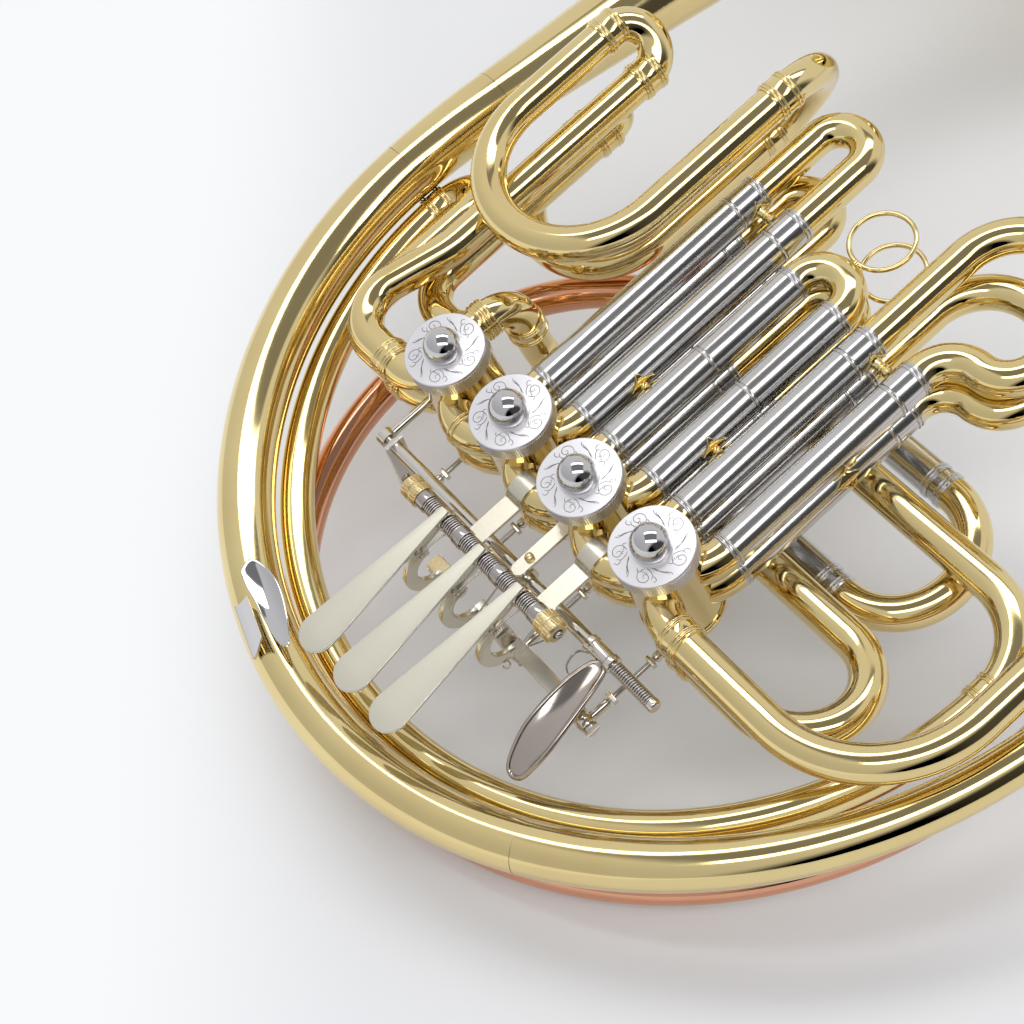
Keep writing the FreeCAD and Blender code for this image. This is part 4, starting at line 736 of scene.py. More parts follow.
def port_run(valve_y, level, angle, line, bend, toward):
    """A tube that starts inside a valve's port and bends once through 45 degrees."""
    aim = Vector((*polar(1, radians(angle)), 0))
    reach = line * sqrt(2) - bend * EIGHTH
    start = Vector((0, valve_y, level)) + aim * reach
    return Run(start, aim).bend(bend, 45, toward)


def column_run(valve_y, level, angle):
    """From a port to the line that runs along the valve row."""
    way = Y if angle in (45, 135) else -Y
    return port_run(valve_y, level, angle, COLUMN, PORT_BEND, way)


def leg_run(valve_y, level, angle):
    """From a port to a slide leg's line."""
    return port_run(valve_y, level, angle, HALF_LEGS, LEG_BEND, X)


# ------------------------------------------------------------------ hoop and bell

TAIL_START = HOOP_AT + Vector((*polar(HOOP_BEND, radians(210)), HOOP))
BRANCH_BEND, BRANCH_RUN = 192.8, 9.2
BRANCH_START = Vector((TAIL_START.x + BRANCH_BEND * cos(radians(30)) + BRANCH_RUN,
                       TAIL_START.y - BRANCH_BEND / 2, HOOP))
THROAT_START, THROAT_BEND = HOOP_AT + Vector((0, HOOP_BEND, HOOP)), 260.0
BRANCH_START_RADIUS, BRANCH_END_RADIUS = 6.9, 9.5
TAIL_END_RADIUS, THROAT_RADIUS = 11.9, 12.7
BELL_LENGTH, RIM_RADIUS, FLARE_POWER, BELL_WALL, RIM_WIRE = 385.0, 152.0, 1.2, 0.7, 1.6


class HORN_OT_hoop_and_bell(Operator):
    """Sweeps the bell branch and its tail, and turns the bell's flare and rim"""
    bl_idname = "horn.hoop_and_bell"
    bl_label = "Hoop and bell"

    def execute(self, context):
        brass = finish("brass")
        branch = Run(BRANCH_START, -X).go(BRANCH_RUN).bend(BRANCH_BEND, 60, Y)
        branch.taper(BRANCH_START_RADIUS, BRANCH_END_RADIUS)
        tubing("first_branch", [branch], brass)
        tail = Run(TAIL_START, branch.ahead)
        tail.bend(HOOP_BEND, 120, HOOP_AT + Z * HOOP - TAIL_START)
        tail.taper(BRANCH_END_RADIUS, TAIL_END_RADIUS)
        tubing("bell_tail", [tail], brass)
        throat = Run(THROAT_START, X).bend(THROAT_BEND, 10, -Z)
        throat.taper(TAIL_END_RADIUS, THROAT_RADIUS)
        neck = swept([throat.line()], brass, sides=96)
        scale = BELL_LENGTH / ((RIM_RADIUS / THROAT_RADIUS) ** (1 / FLARE_POWER) - 1)

        def flare(reach, inset):
            """A place on the flare, back from the rim and in from its outer face."""
            radius = RIM_RADIUS * (scale / (scale + reach)) ** FLARE_POWER
            slope = FLARE_POWER * radius / (scale + reach)
            stretch = hypot(1, slope)
            return (radius - inset / stretch,
                    BELL_LENGTH - reach + inset * slope / stretch)

        stations = [BELL_LENGTH * (n / 70) ** 2 for n in range(71)]
        outline = [flare(reach, 0.0) for reach in reversed(stations)]
        edge = Vector(flare(0.0, BELL_WALL / 2))
        outline += [polar(RIM_WIRE, radians(-60 + 20 * k), edge) for k in range(13)]
        outline += [flare(reach, BELL_WALL) for reach in stations]
        cone = lathe(outline, throat.at, throat.ahead, sides=160, ease=0)
        piece("bell", joined([neck, cone]), "horn", brass, angle=50)
        return {"FINISHED"}


# ------------------------------------------------------------------ valve tubing

# Where the change valve's outer and inner bows end, and where its two loops end and turn.
OUTER_X, OUTER_Y, INNER_X, INNER_Y = 130.0, 45.2, 106.0, 49.0
LOOP_END, LOOP_TURN, LOOP_BEND = 150.0, 87.0, 37.0
LOW_Y, LOW_TURN, LOW_BEND = 7.0, 92.0, 30.0


class HORN_OT_valve_tubing(Operator):
    """Sweeps the brass tubes that join the valves, the loops and the hoop"""
    bl_idname = "horn.valve_tubing"
    bl_label = "Valve tubing"

    def execute(self, context):
        brass = finish("brass")

        rows = [column_run(y, level, 225).bend(PORT_BEND, 45, X)
                for _, y in VALVES[:3] for level in DECKS]
        tubing("knuckles", rows, brass)
        elbows = [leg_run(y, level, angle).go(1.5)
                  for _, y in VALVES[1:] for level in DECKS for angle in (45, 315)]
        tubing("port_elbows", elbows, brass)

        column_y = FIRST - PITCH / 2
        fall = UPPER - HOOP
        out_y = BRANCH_START.y + sqrt((2 * HALF_LEGS) ** 2 - fall ** 2)
        bend = 47.0
        outlet = column_run(FIRST, UPPER, 225).go(column_y - (out_y + bend))
        outlet.bend(bend, 90, X).go(BRANCH_START.x - (bend - COLUMN)).bow(BRANCH_START)
        tubing("output_branch", [outlet], brass)

        inner = Run(HOOP_AT + Vector((0, -INNER_BEND, UNDER)), -X)
        tubing("inner_hoop_branch", [inner.bend(INNER_BEND, 180, Y)], brass)

        fall, dip_x, high_y, right_x = 32.0, 30.0, -92.0, 75.0
        dip_y = column_y - fall
        dip = column_run(FIRST, LOWER, 225).go(fall).bow((dip_x, dip_y, UNDER))
        dip.go(high_y - dip_y).bend((right_x - dip_x) / 2, 180, X)
        turn = right_x - HOOP_AT.x
        dip.go(high_y - (HOOP_AT.y - INNER_BEND + turn)).bend(turn, 90, -X)
        tubing("under_run", [dip], brass)

        slope, ease = radians(15), 40.0
        outer = column_run(CHANGE, UPPER, 135).go(17.0).bend(16.0, 105, X)
        ramp = (outer.at.y - OUTER_Y - ease * (1 - cos(slope))) / sin(slope)
        outer.go(ramp).bend(ease, 15, Y)
        outer.go(OUTER_X - outer.at.x)
        tubing("change_bow_outer", [outer], brass)
        far = OUTER_Y + sqrt((2 * HALF_LEGS) ** 2 - (TOP - UPPER) ** 2)
        loop = Run(outer.at, X).bow((OUTER_X, far, TOP))
        loop.go(OUTER_X - LOOP_TURN).bend(LOOP_BEND, 180, -Y)
        loop.go(LOOP_END - LOOP_TURN)
        tubing("top_loop", [loop], brass)
        low = Run(loop.at, X).bow((LOOP_END, LOW_Y, UNDER))
        low.go(LOOP_END - LOW_TURN).bend(LOW_BEND, 180, Y)
        low.go(INNER_X - LOW_TURN).bow((INNER_X, INNER_Y, LOWER))
        tubing("low_loop", [low], brass)
        bend = 15.0
        second = column_run(CHANGE, LOWER, 45).go(INNER_Y - bend - PITCH / 2)
        second.bend(bend, 90, X).go(INNER_X - COLUMN - bend)
        tubing("change_bow_inner", [second], brass)
        bend = 17.5
        hidden = column_run(CHANGE, LOWER, 135).go(26.0).bend(bend, 90, X)
        hidden.go(HOOP_AT.x + COLUMN - bend).bow(inner.at)
        tubing("hidden_branch", [hidden], brass)

        feed_x, bend = 20.0, 13.0
        feed = leg_run(CHANGE, UPPER, 45).go(feed_x - LEG_START).bend(bend, 90, -Z)
        feed.go(UPPER - LEAD - 2 * bend).bend(bend, 90, -Y)
        aside = TUNING_LEGS[0] - feed_x - bend
        ramp = (aside - 2 * ease * (1 - cos(slope))) / sin(slope)
        feed.bend(ease, 15, X).go(ramp).bend(ease, 15, -Y)
        feed.go(feed.at.y - TUNING_Y)
        tubing("feed", [feed], brass)

        near_y, last_y = 24.5, -137.5
        trims = [collar(origin, way, length) for origin, way, length in (
                ((-COLUMN, last_y, UPPER), Y, 9.0),
                ((-COLUMN, near_y, UPPER), Y, 8.0), ((-COLUMN, near_y, LOWER), Y, 8.0),
                ((COLUMN, near_y, LOWER), Y, 8.0), ((-COLUMN, last_y, LOWER), Y, 9.0),
                ((OUTER_X, OUTER_Y, UPPER), X, 10.0), ((OUTER_X, far, TOP), X, 10.0),
                ((LOOP_END, far - 2 * LOOP_BEND, TOP), X, 10.0),
                ((LOOP_END, LOW_Y, UNDER), X, 10.0),
                ((INNER_X, LOW_Y + 2 * LOW_BEND, UNDER), X, 10.0),
                ((INNER_X, INNER_Y, LOWER), X, 10.0),
                ((BRANCH_START.x, out_y, UPPER), X, 10.0), (BRANCH_START, X, 11.0),
                ((HOOP_AT.x, inner.at.y, UNDER), X, 10.0),
                ((HOOP_AT.x, HOOP_AT.y - INNER_BEND, UNDER), X, 10.0),
                ((feed_x + bend, HALF_LEGS, -37.0), Z, 9.0),
                ((feed_x + 0.5, HALF_LEGS, UPPER), X, 6.0))]
        piece("ferrules", joined(trims), "horn", brass)
        band = bands(TUBE - 0.3, TUBE + 0.1, -1.6, 3.2, (-0.9, 0.9))
        rings = [lathe(band, (-COLUMN, y - PITCH / 2, level), Y, ease=0)
                 for _, y in VALVES[:3] for level in DECKS]
        piece("knuckle_bands", joined(rings), "horn", brass)
        return {"FINISHED"}


# ------------------------------------------------------------------ leadpipe

LEAD_END_RADIUS = 4.8


class HORN_OT_leadpipe(Operator):
    """Sweeps the tapering leadpipe and turns the mouthpiece receiver"""
    bl_idname = "horn.leadpipe"
    bl_label = "Leadpipe"

    def execute(self, context):
        right, top = TUNING_LEGS[1], TUNING_Y + 6.0
        meet = radians(205)
        spot = HOOP_AT + Vector((*polar(HOOP_BEND, meet), 0))
        bend = (right - spot.x) / (1 - cos(radians(155)))
        cross_y = top + bend * sin(radians(155))
        cross = (cross_y - spot.y) / (2 * sin(radians(25)))
        pipe = Run((right, TUNING_Y, LEAD), Y).go(6.0).bend(bend, 155, -X)

        def inward(run):
            return Z.cross(run.ahead)

        pipe.bend(cross, 50, inward(pipe)).bend(HOOP_BEND, 65, inward(pipe))
        pipe.go(90.0).bend(300.0, 12, -inward(pipe)).go(70.0)
        pipe.split().taper(TUBE, LEAD_END_RADIUS)
        tubing("leadpipe", [pipe], finish("red_brass"))
        body = [(4.6, -12.0), (5.8, -12.0), (6.6, -6.0), (6.6, 40.0), (7.8, 41.0),
                (7.8, 46.0), (4.1, 46.0), (4.1, 22.0), (4.3, 20.0), (4.3, 0.0)]
        piece("mouthpiece_receiver", lathe(body, pipe.at, pipe.ahead, ease=0.4), "horn",
              finish("nickel"))
        return {"FINISHED"}


class HORN_OT_tuning_slide(Operator):
    """Turns the main tuning slide's sleeves and sweeps its legs and bow"""
    bl_idname = "horn.tuning_slide"
    bl_label = "Main tuning slide"

    def execute(self, context):
        nickel, brass = finish("nickel"), finish("brass")
        sleeves, cuffs, legs = [], [], []
        slide, end = "main_tuning_slide", TUNING_Y - TUNING_SLEEVE
        for x in TUNING_LEGS:
            sleeves.append(lathe(bands(BORE, TUBE, 0, TUNING_SLEEVE,
                                       pair(0, TUNING_SLEEVE)), (x, TUNING_Y, LEAD), -Y))
            cuffs.append(lathe(bands(LEG - 0.2, TUBE, 0, 5.5, pair(0, 5.5, first=False)),
                               (x, end - SLIDE_GAP, LEAD), -Y))
            legs.append(Run((x, end + LEG_INSIDE, LEAD), -Y, LEG).go(LEG_LENGTH))
        piece("tuning_sleeves", joined(sleeves), "horn", nickel)
        piece("tuning_cuffs", joined(cuffs), slide, nickel)
        tubing("tuning_legs", legs, nickel, slide)
        bow = Run((TUNING_LEGS[0], end - 3.0, LEAD), -Y, 6.55).go(2.9)
        bow.bend((TUNING_LEGS[1] - TUNING_LEGS[0]) / 2, 180, X).go(2.9)
        tubing("tuning_bow", [bow], brass, slide, [slide])
        return {"FINISHED"}


# ------------------------------------------------------------------ valve slides

def wrapped(at_x, y, z, side, size=5.0):
    """A diamond foot that hugs a tube along X; its side is the angle from Z towards Y."""
    side, thick = radians(side), 0.8
    corners = [(size, 0), (0, size), (-size, 0), (0, -size)]
    outline = []
    for n, corner in enumerate(corners):
        after = corners[(n + 1) % 4]
        for k in range(5):
            share = k / 5
            bow = 1 - 0.22 * sin(pi * share)
            outline.append(((corner[0] + (after[0] - corner[0]) * share) * bow,
                            (corner[1] + (after[1] - corner[1]) * share) * bow))

    def shape(u, v, height):
        angle = side + v / TUBE
        reach = TUBE + thick / 2 + height
        return Vector((at_x + u, y + reach * sin(angle), z + reach * cos(angle)))

    return shell(outline, shape, thick, rings=5)


def spool(at_x, high, low, level):
    """A turned post with a bead at its middle and a diamond foot at each end."""
    thick = 2.0
    span = high - low
    half = span / 2
    profile = [(0, 0), (thick + 1.1, 0), (thick + 0.35, 0.7), (thick, 1.2)]
    profile += [(thick, half - 1.2), (thick - 0.5, half - 0.9), (thick - 0.5, half - 0.6),
                (thick + 0.35, half - 0.3), (thick + 0.35, half + 0.3),
                (thick - 0.5, half + 0.6), (thick - 0.5, half + 0.9), (thick, half + 1.2)]
    profile += [(thick, span - 1.2), (thick + 0.35, span - 0.7), (thick + 1.1, span),
                (0, span)]
    post = lathe(profile, (at_x, high, level), -Y, sides=40, ease=0.15)
    feet = [wrapped(at_x, high + TUBE, level, -90), wrapped(at_x, low - TUBE, level, 90)]
    return joined([post] + feet)


PULL_RING = 11.7
# Each slide: its valve and deck, the valve's place, its level, and where along X its
# sleeves end, its cuffs end and its bow starts to turn.
SLIDES = (
    ("first", "upper", FIRST, UPPER, 94.0, 106.0, 148.0),
    ("second", "upper", SECOND, UPPER, 63.0, 105.0, 105.4),
    ("third", "upper", THIRD, UPPER, 110.0, 122.5, 150.0),
    ("first", "lower", FIRST, LOWER, 88.5, 100.0, 130.0),
    ("second", "lower", SECOND, LOWER, 61.0, 70.0, 104.0),
    ("third", "lower", THIRD, LOWER, 100.0, 108.0, 128.0),
)


class HORN_OT_valve_slides(Operator):
    """Turns the fixed sleeves and makes the six valve slides that pull out of them"""
    bl_idname = "horn.valve_slides"
    bl_label = "Valve slides"

    def execute(self, context):
        nickel, brass = finish("nickel"), finish("brass")
        fixed = {"upper": [], "lower": []}
        for label, deck, y, level, sleeve, cuff_end, turn_x in SLIDES:
            body = f"slide_{label}_{deck}"
            cuffs, legs = [], []
            for side in (1, -1):
                leg_y = y + side * HALF_LEGS
                length = sleeve - LEG_START
                beads = pair(0, length, last=False) + [length - 0.9]
                fixed[deck].append(lathe(bands(BORE, TUBE, 0, length, beads),
                                         (LEG_START, leg_y, level), X))
                length = cuff_end - sleeve - SLIDE_GAP
                cuffs.append(lathe(bands(LEG - 0.25, TUBE, 0, length,
                                         pair(0, length, first=False)),
                                   (sleeve + SLIDE_GAP, leg_y, level), X))
                legs.append(Run((sleeve - LEG_INSIDE, leg_y, level), X, LEG)
                            .go(LEG_LENGTH))
            high, low = y + HALF_LEGS, y - HALF_LEGS
            bow = Run((cuff_end - 1.0, high, level), X, 6.4).go(turn_x - cuff_end + 1.0)
            if label == "first":
                back = cuff_end + 28.5
                bow.bend(HALF_LEGS + 14.0, 180, -Y).go(turn_x - back)
                bow.bend(14.0, 90, Y).bend(14.0, 90, -X).go(1.5)
            else:
                bow.bend(HALF_LEGS, 180, -Y).go(turn_x - cuff_end + 1.0)
            piece(f"{body}_cuffs", joined(cuffs), body, nickel)
            tubing(f"{body}_legs", legs, nickel, body)
            tubing(f"{body}_bow", [bow], brass, body, [body])
            if deck == "upper" and label != "second":
                at_x = cuff_end - 6.0
                piece(f"{body}_post", spool(at_x, high - TUBE, low + TUBE, level), body,
                      brass)
            if label == "second":
                aim = Vector((*polar(1, radians(-2 if deck == "upper" else -10)), 0))
                middle = Vector((turn_x, y, level)) + aim * (HALF_LEGS + LEG + 1.2
                                                             + PULL_RING)
                ring = Run(middle + X * PULL_RING, Y, 0.95)
                ring.bend(PULL_RING, 180, -X).bend(PULL_RING, 180, X)
                lug = Run(middle - aim * PULL_RING, -aim, 1.5).go(1.9)
                tubing(f"{body}_ring", [ring, lug], brass, body, sides=24)
        for deck, sleeves in fixed.items():
            piece(f"sleeves_{deck}", joined(sleeves), "horn", nickel)
        return {"FINISHED"}


# ------------------------------------------------------------------ valves and caps

def scroll_lines():
    """A fifth of a cap's engraving as (degrees, radius): a curled leaf and strokes."""
    lines = [[(-2, 8.3), (-8, 8.8), (-13, 10.0), (-12, 11.6), (-7, 12.8), (0, 13.2),
              (6, 12.6), (8, 11.4), (5, 10.4), (0, 10.3), (-2, 11.2), (1, 11.8)],
             [(2, 8.2), (8, 8.7), (13, 9.7), (15, 11.0), (12, 12.2)],
             [(15, 11.0), (19, 11.6), (20, 12.8), (16, 13.4)],
             [(-13, 10.0), (-17, 9.6), (-19, 8.7)]]
    for n in range(6):
        lines.append([(14 + 5 * n, 8.1 + 0.55 * n), (20 + 5 * n, 8.4 + 0.75 * n),
                      (26 + 4 * n, 9.2 + 0.8 * n)])
    for n in range(4):
        lines.append([(-10 + 4 * n, 9.6 + 0.2 * n), (-7 + 4 * n, 9.0 + 0.2 * n)])
    return lines


def engraving():
    """The lines of a cap's engraving and their radii, finest at the ends."""
    lines = []
    for turn in range(0, 360, 72):
        for line in scroll_lines():
            spots = curve_points([(*polar(radius, radians(angle + turn)), 0.0)
                                  for angle, radius in line], steps=5)
            count = len(spots)
            lines.append((spots, [0.08 + 0.04 * min(1.0, 3.0 * min(k, count - 1 - k)
                                                    / count) for k in range(count)]))
    return lines


def knurling(outline, thickness, height, ease, count, radius, metal):
    """A band of upright ridges round Z, each a plate of the outline."""
    ridge = plate(outline, thickness, Matrix.Translation((0, 0, height))
                  @ Matrix.Rotation(pi / 2, 4, "X"), ease=ease, steps=1)
    return grown(loose("ridge", ridge), ring_of_tree, metal, Count=count, Radius=radius)


class HORN_OT_valves(Operator):
    """Turns the casings and the engraved caps with their balls and knurled skirts"""
    bl_idname = "horn.valves"
    bl_label = "Valves and caps"

    def execute(self, context):
        keys = context.scene.horn_keys
        brass, cap, mirror = finish("brass"), finish("cap"), finish("mirror")
        faces, balls, knurls, scrolls = [], [], [], []
        for label, y in VALVES:
            casing = [(13.4, -5.0), (13.4, -41.4), (3.3, -41.4), (3.3, -44.0),
                      (15.4, -44.0), (15.4, -42.4), (14.3, -42.4), (14.3, -8.2),
                      (14.6, -8.0), (14.6, -5.2), (14.3, -5.0)]
            piece(f"casing_{label}", lathe(casing, (0, y, 0), ease=0.25, sides=96),
                  "horn", brass)
            faces.append(lathe([(0, -4.9), (14.4, -4.9), (14.4, -7.3), (14.75, -7.3),
                                (14.75, -1.0), (15.0, -0.8), (15.0, -0.25),
                                (14.75, 0.0), (7.3, 0.0), (7.3, 0.3), (0, 0.3)],
                               (0, y, 0), sides=128, ease=0.1))
            low = asin(-0.3)
            ball = [(0, 0.2)] + [polar(6.85, low + (pi / 2 - low) * k / 28, (0, 2.35))
                                 for k in range(28)] + [(0, 9.2)]
            balls.append(lathe(ball, (0, y, 0), sides=72, ease=0))
            knurls.append(knurling(box(-0.15, 0.22, -2.6, 2.6), 0.42, -4.3, 0.1,
                                   keys.knurls, 14.78, cap))
            scrolls.append(swept(engraving(), cap, sides=6))
            for mesh in (knurls[-1], scrolls[-1]):
                mesh.transform(Matrix.Translation((0, y, 0)))
        piece("valve_caps", joined(faces), "horn", cap)
        piece("cap_balls", joined(balls), "horn", mirror)
        piece("cap_knurls", joined(knurls), "horn", cap)
        # The raised engraving lines take the near-black finish, painted shade standing for cut
        # grooves.
        piece("cap_scrolls", joined(scrolls), "horn", finish("engraved"))
        for label, _ in VALVES:
            dress(f"rotor_{label}", "brass")
            dress(f"stop_arm_{label}", "bright_key")
        dress("bearing_plates", "brass")
        dress("stop_plates", "bright_key")
        dress("stop_bumpers", "bumper")
        return {"FINISHED"}


# ------------------------------------------------------------------ key work

def screw_head(origin, z_way):
    """A slotted cheese head, its slot cut across the top."""
    radius, height = 3.1, 1.6
    head = lathe(box(0, radius, 0, height), origin, z_way, sides=40, ease=0.3)
    groove = plate(box(-radius - 1, radius + 1, -0.32, 0.32), 0.9,
                   frame_at(Vector(origin) + Vector(z_way).normalized() * height, z_way),
                   ease=0)
    return carved(head, groove)


def carved(mesh, tool):
    """A mesh with a tool cut away from it."""
    body, blade = loose("carved", mesh), loose("blade", tool)
    cut = body.modifiers.new("Cut", "BOOLEAN")
    cut.operation = "DIFFERENCE"
    cut.solver = "EXACT"
    cut.object = blade
    result = settled(body)
    discard(body)
    discard(blade)
    return result


def on_xz(y):
    """Stands a flat outline in the XZ plane at a place along Y."""
    return frame_at((0, y, 0), -Y, X)


def arc_strip(centre, outer, inner, begin, end):
    """The outline of a curved strip: a sector of a ring."""
    return [polar(radius, radians(begin + (end - begin) * k / 24), centre)
            for radius, sweep in ((outer, range(25)), (inner, range(24, -1, -1)))
            for k in sweep]


def ear_end(x):
    """The round lower end of an arm's ear, about its ball pin."""
    return [polar(3.5, -pi * k / 16, (x, BALL_Z)) for k in range(17)]


def ball_pin(x, ear_y, rod_y):
    """The pin from an arm's ear through a push rod's ball, and its screw."""
    end = rod_y - 2.9
    return [lathe(box(0, 1.5, 0, ear_y - end), (x, ear_y, BALL_Z), -Y, sides=24),
            screw_head((x, end, BALL_Z), -Y)]


TOUCH_LENGTH, TIP_RADIUS, NECK_HALF = 57.6, 7.3, 1.6


class HORN_OT_finger_keys(Operator):
    """Shapes the three finger keys with their hooked arms, ears and screws"""
    bl_idname = "horn.finger_keys"
    bl_label = "Finger keys"

    def execute(self, context):
        satin, bright = finish("keys"), finish("bright_key")
        plate_z = AXLE_Z + 3.9 + 0.25
        tilt = radians(3.8)
        for n, (label, valve_y) in enumerate(VALVES[1:]):
            body, y, rod_y = f"key_{label}", KEY_ROWS[n], valve_y - ROD_SIDE
            lean = asin((TIP_RADIUS - NECK_HALF) / TOUCH_LENGTH)
            spots = [(2.2, NECK_HALF)]
            spots += [polar(TIP_RADIUS, pi / 2 - lean + (pi + 2 * lean) * k / 28,
                            (-TOUCH_LENGTH, 0)) for k in range(29)]
            spots.append((2.2, -NECK_HALF))
            slant = (Matrix.Translation((AXLE_X, y, plate_z))
                     @ Matrix.Rotation(-tilt, 4, "Y"))
            piece(f"{body}_touch", plate(spots, 1.4, slant, ease=0.2), body, satin,
                  angle=60)
            rim = [(x * 1.006, side * 1.04) for x, side in spots]
            piece(f"{body}_rim",
                  plate(rim, 1.0, slant @ Matrix.Translation((0, 0, -0.14)), ease=0.3),
                  body, bright, angle=60)
            low_z = plate_z - 38.0 * tan(tilt)
            web = plate([(AXLE_X - 2.5, plate_z), (AXLE_X - 2.5, AXLE_Z - 1.0),
                         (-53.5, AXLE_Z - 4.0), (-79.0, low_z)], 2.2, on_xz(y))
            hook = plate(arc_strip((-53.5, AXLE_Z - 15.0), 12.0, 6.8, 80, 275), 2.2,
                         on_xz(y), ease=0.5)
            ear_y = rod_y + EAR_ASIDE
            foot_z, half = AXLE_Z - 15.0 - 12.0 + 2.6, 1.1
            ear_top = foot_z - 4.5
            side = 1 if ear_y > y else -1
            near, far = y - side * half, ear_y + side * half
            strip = plate([(near, foot_z + 1.6), (near, foot_z - 1.4),
                           (far, ear_top - 2.0), (far, ear_top + 1.0)], 6.0,
                          frame_at((ARM_X, 0, 0), X, Y), ease=0.3)
            ear = [(ARM_X - 3.5, ear_top + 0.5), (ARM_X + 3.5, ear_top + 0.5)]
            lug = plate(ear + ear_end(ARM_X), 2.2, on_xz(ear_y), ease=0.4)
            piece(f"{body}_arm", joined([web, hook, strip, lug]), body, finish("arms"),
                  [body], angle=40)
            boss = lathe(box(2.05, 3.9, -2, 2), (AXLE_X, y, AXLE_Z), Y, ease=0.35)
            tail = lathe([(0, 0), (2.4, 0), (2.4, 0.7), (1.5, 1.2), (1.5, 2.2), (0, 2.2)],
                         (ARM_X, ear_y + 1.1, BALL_Z), Y, sides=24)
            pin = ball_pin(ARM_X, ear_y, rod_y)
            piece(f"{body}_pivot", joined([boss] + pin + [tail]), body, bright)
        return {"FINISHED"}


def threaded(start, length, radius):
    """A rod whose surface is grooved along its length."""
    depth, pitch = 0.14, 0.9
    outline = [(0, 0), (radius, 0)]
    for n in range(int(length / pitch)):
        outline += [(radius - depth, pitch * (n + 0.5)), (radius, pitch * (n + 1) - 0.01)]
    outline += [(radius, length), (0, length)]
    return lathe(outline, start, X, sides=20, ease=0)


class HORN_OT_push_rods(Operator):
    """Turns the rods that join the keys to the valves' cranks, with their ball joints"""
    bl_idname = "horn.push_rods"
    bl_label = "Push rods"

    def execute(self, context):
        bright, steel = finish("bright_key"), finish("rod_steel")
        rods = [(label, valve_y - ROD_SIDE, ARM_X, -ROD_SIDE)
                for label, valve_y in VALVES[1:]]
        rods.append(("change", CHANGE - ROD_SIDE, THUMB_BALL_X, ROD_SIDE))
        for label, y, ball_x, eye_x in rods:
            barrel = [(1.55, -2.5)]
            barrel += [(3.5 * sqrt(max(0.0, 1 - (h / 4.1) ** 2)), h)
                       for h in (-2.5 + 5.0 * k / 12 for k in range(13))]
            barrel.append((1.55, 2.5))
            start = ball_x + 2.8
            length = eye_x - 2.56 - start
            stem = [(0, 0), (1.9, 0), (1.9, 7.7), (1.1, 8.3), (1.1, 9.0), (0, 9.0)]
            grip = [(0, length - 13.0), (1.1, length - 13.0), (1.9, length - 12.4),
                    (1.9, length - 6.0), (1.1, length - 5.4), (1.1, length + 0.8),
                    (0, length + 0.8)]
            eye = [(0, -2.6), (2.4, -2.6), (2.4, -1.5), (3.2, -1.5), (3.2, 1.5), (0, 1.5)]
            hexagon = [polar(2.6, tau * (k + 0.5) / 6) for k in range(6)]
            nuts = [plate(hexagon, 1.8, frame_at((start + reach, y, BALL_Z), X),
                          ease=0.25) for reach in (9.4, length - 14.4)]
            ends = [lathe(barrel, (ball_x, y, BALL_Z), Y, sides=40, ease=0),
                    lathe(stem, (start - 0.4, y, BALL_Z), X, sides=32),
                    lathe(grip, (start, y, BALL_Z), X, sides=32),
                    lathe(eye, (eye_x, y, BALL_Z), Z, sides=40)]
            body = f"rod_{label}"
            piece(f"{body}_ends", joined(ends + nuts), body, bright, [f"push_{body}"])
            thread = threaded((start + 8.0, y, BALL_Z), length - 20.0, 1.1)
            piece(f"{body}_thread", thread, body, steel)
        return {"FINISHED"}


def spring(x, z, start, end, radius, turns):
    """A coil round an axle, wound from one place along Y to another."""
    wire = bpy.context.scene.horn_keys.wire
    seed = loose("coil_seed", bpy.data.meshes.new("coil_seed"))
    coil = grown(seed, coil_tree, finish("steel"), Turns=turns, Coil_radius=radius,
                 Length=abs(end - start) - 2 * wire, Wire_radius=wire)
    coil.transform(frame_at((x, min(start, end) + wire, z), Y))
    return coil


def wire_leg(controls, radius, end_loop=None):
    """A bent wire through a few places, and round an open loop where one is given."""
    spots = curve_points(controls, steps=6)
    run = Run(spots[0], spots[1] - spots[0], radius)
    run.points = spots
    if end_loop:
        centre, normal = end_loop
        first = spots[-1] - Vector(centre)
        side = Vector(normal).normalized().cross(first)
        run.points = spots[:-1] + [Vector(centre) + first * across + side * along
                                   for across, along in (polar(1, radians(angle))
                                                         for angle in range(0, 301, 20))]
    return run


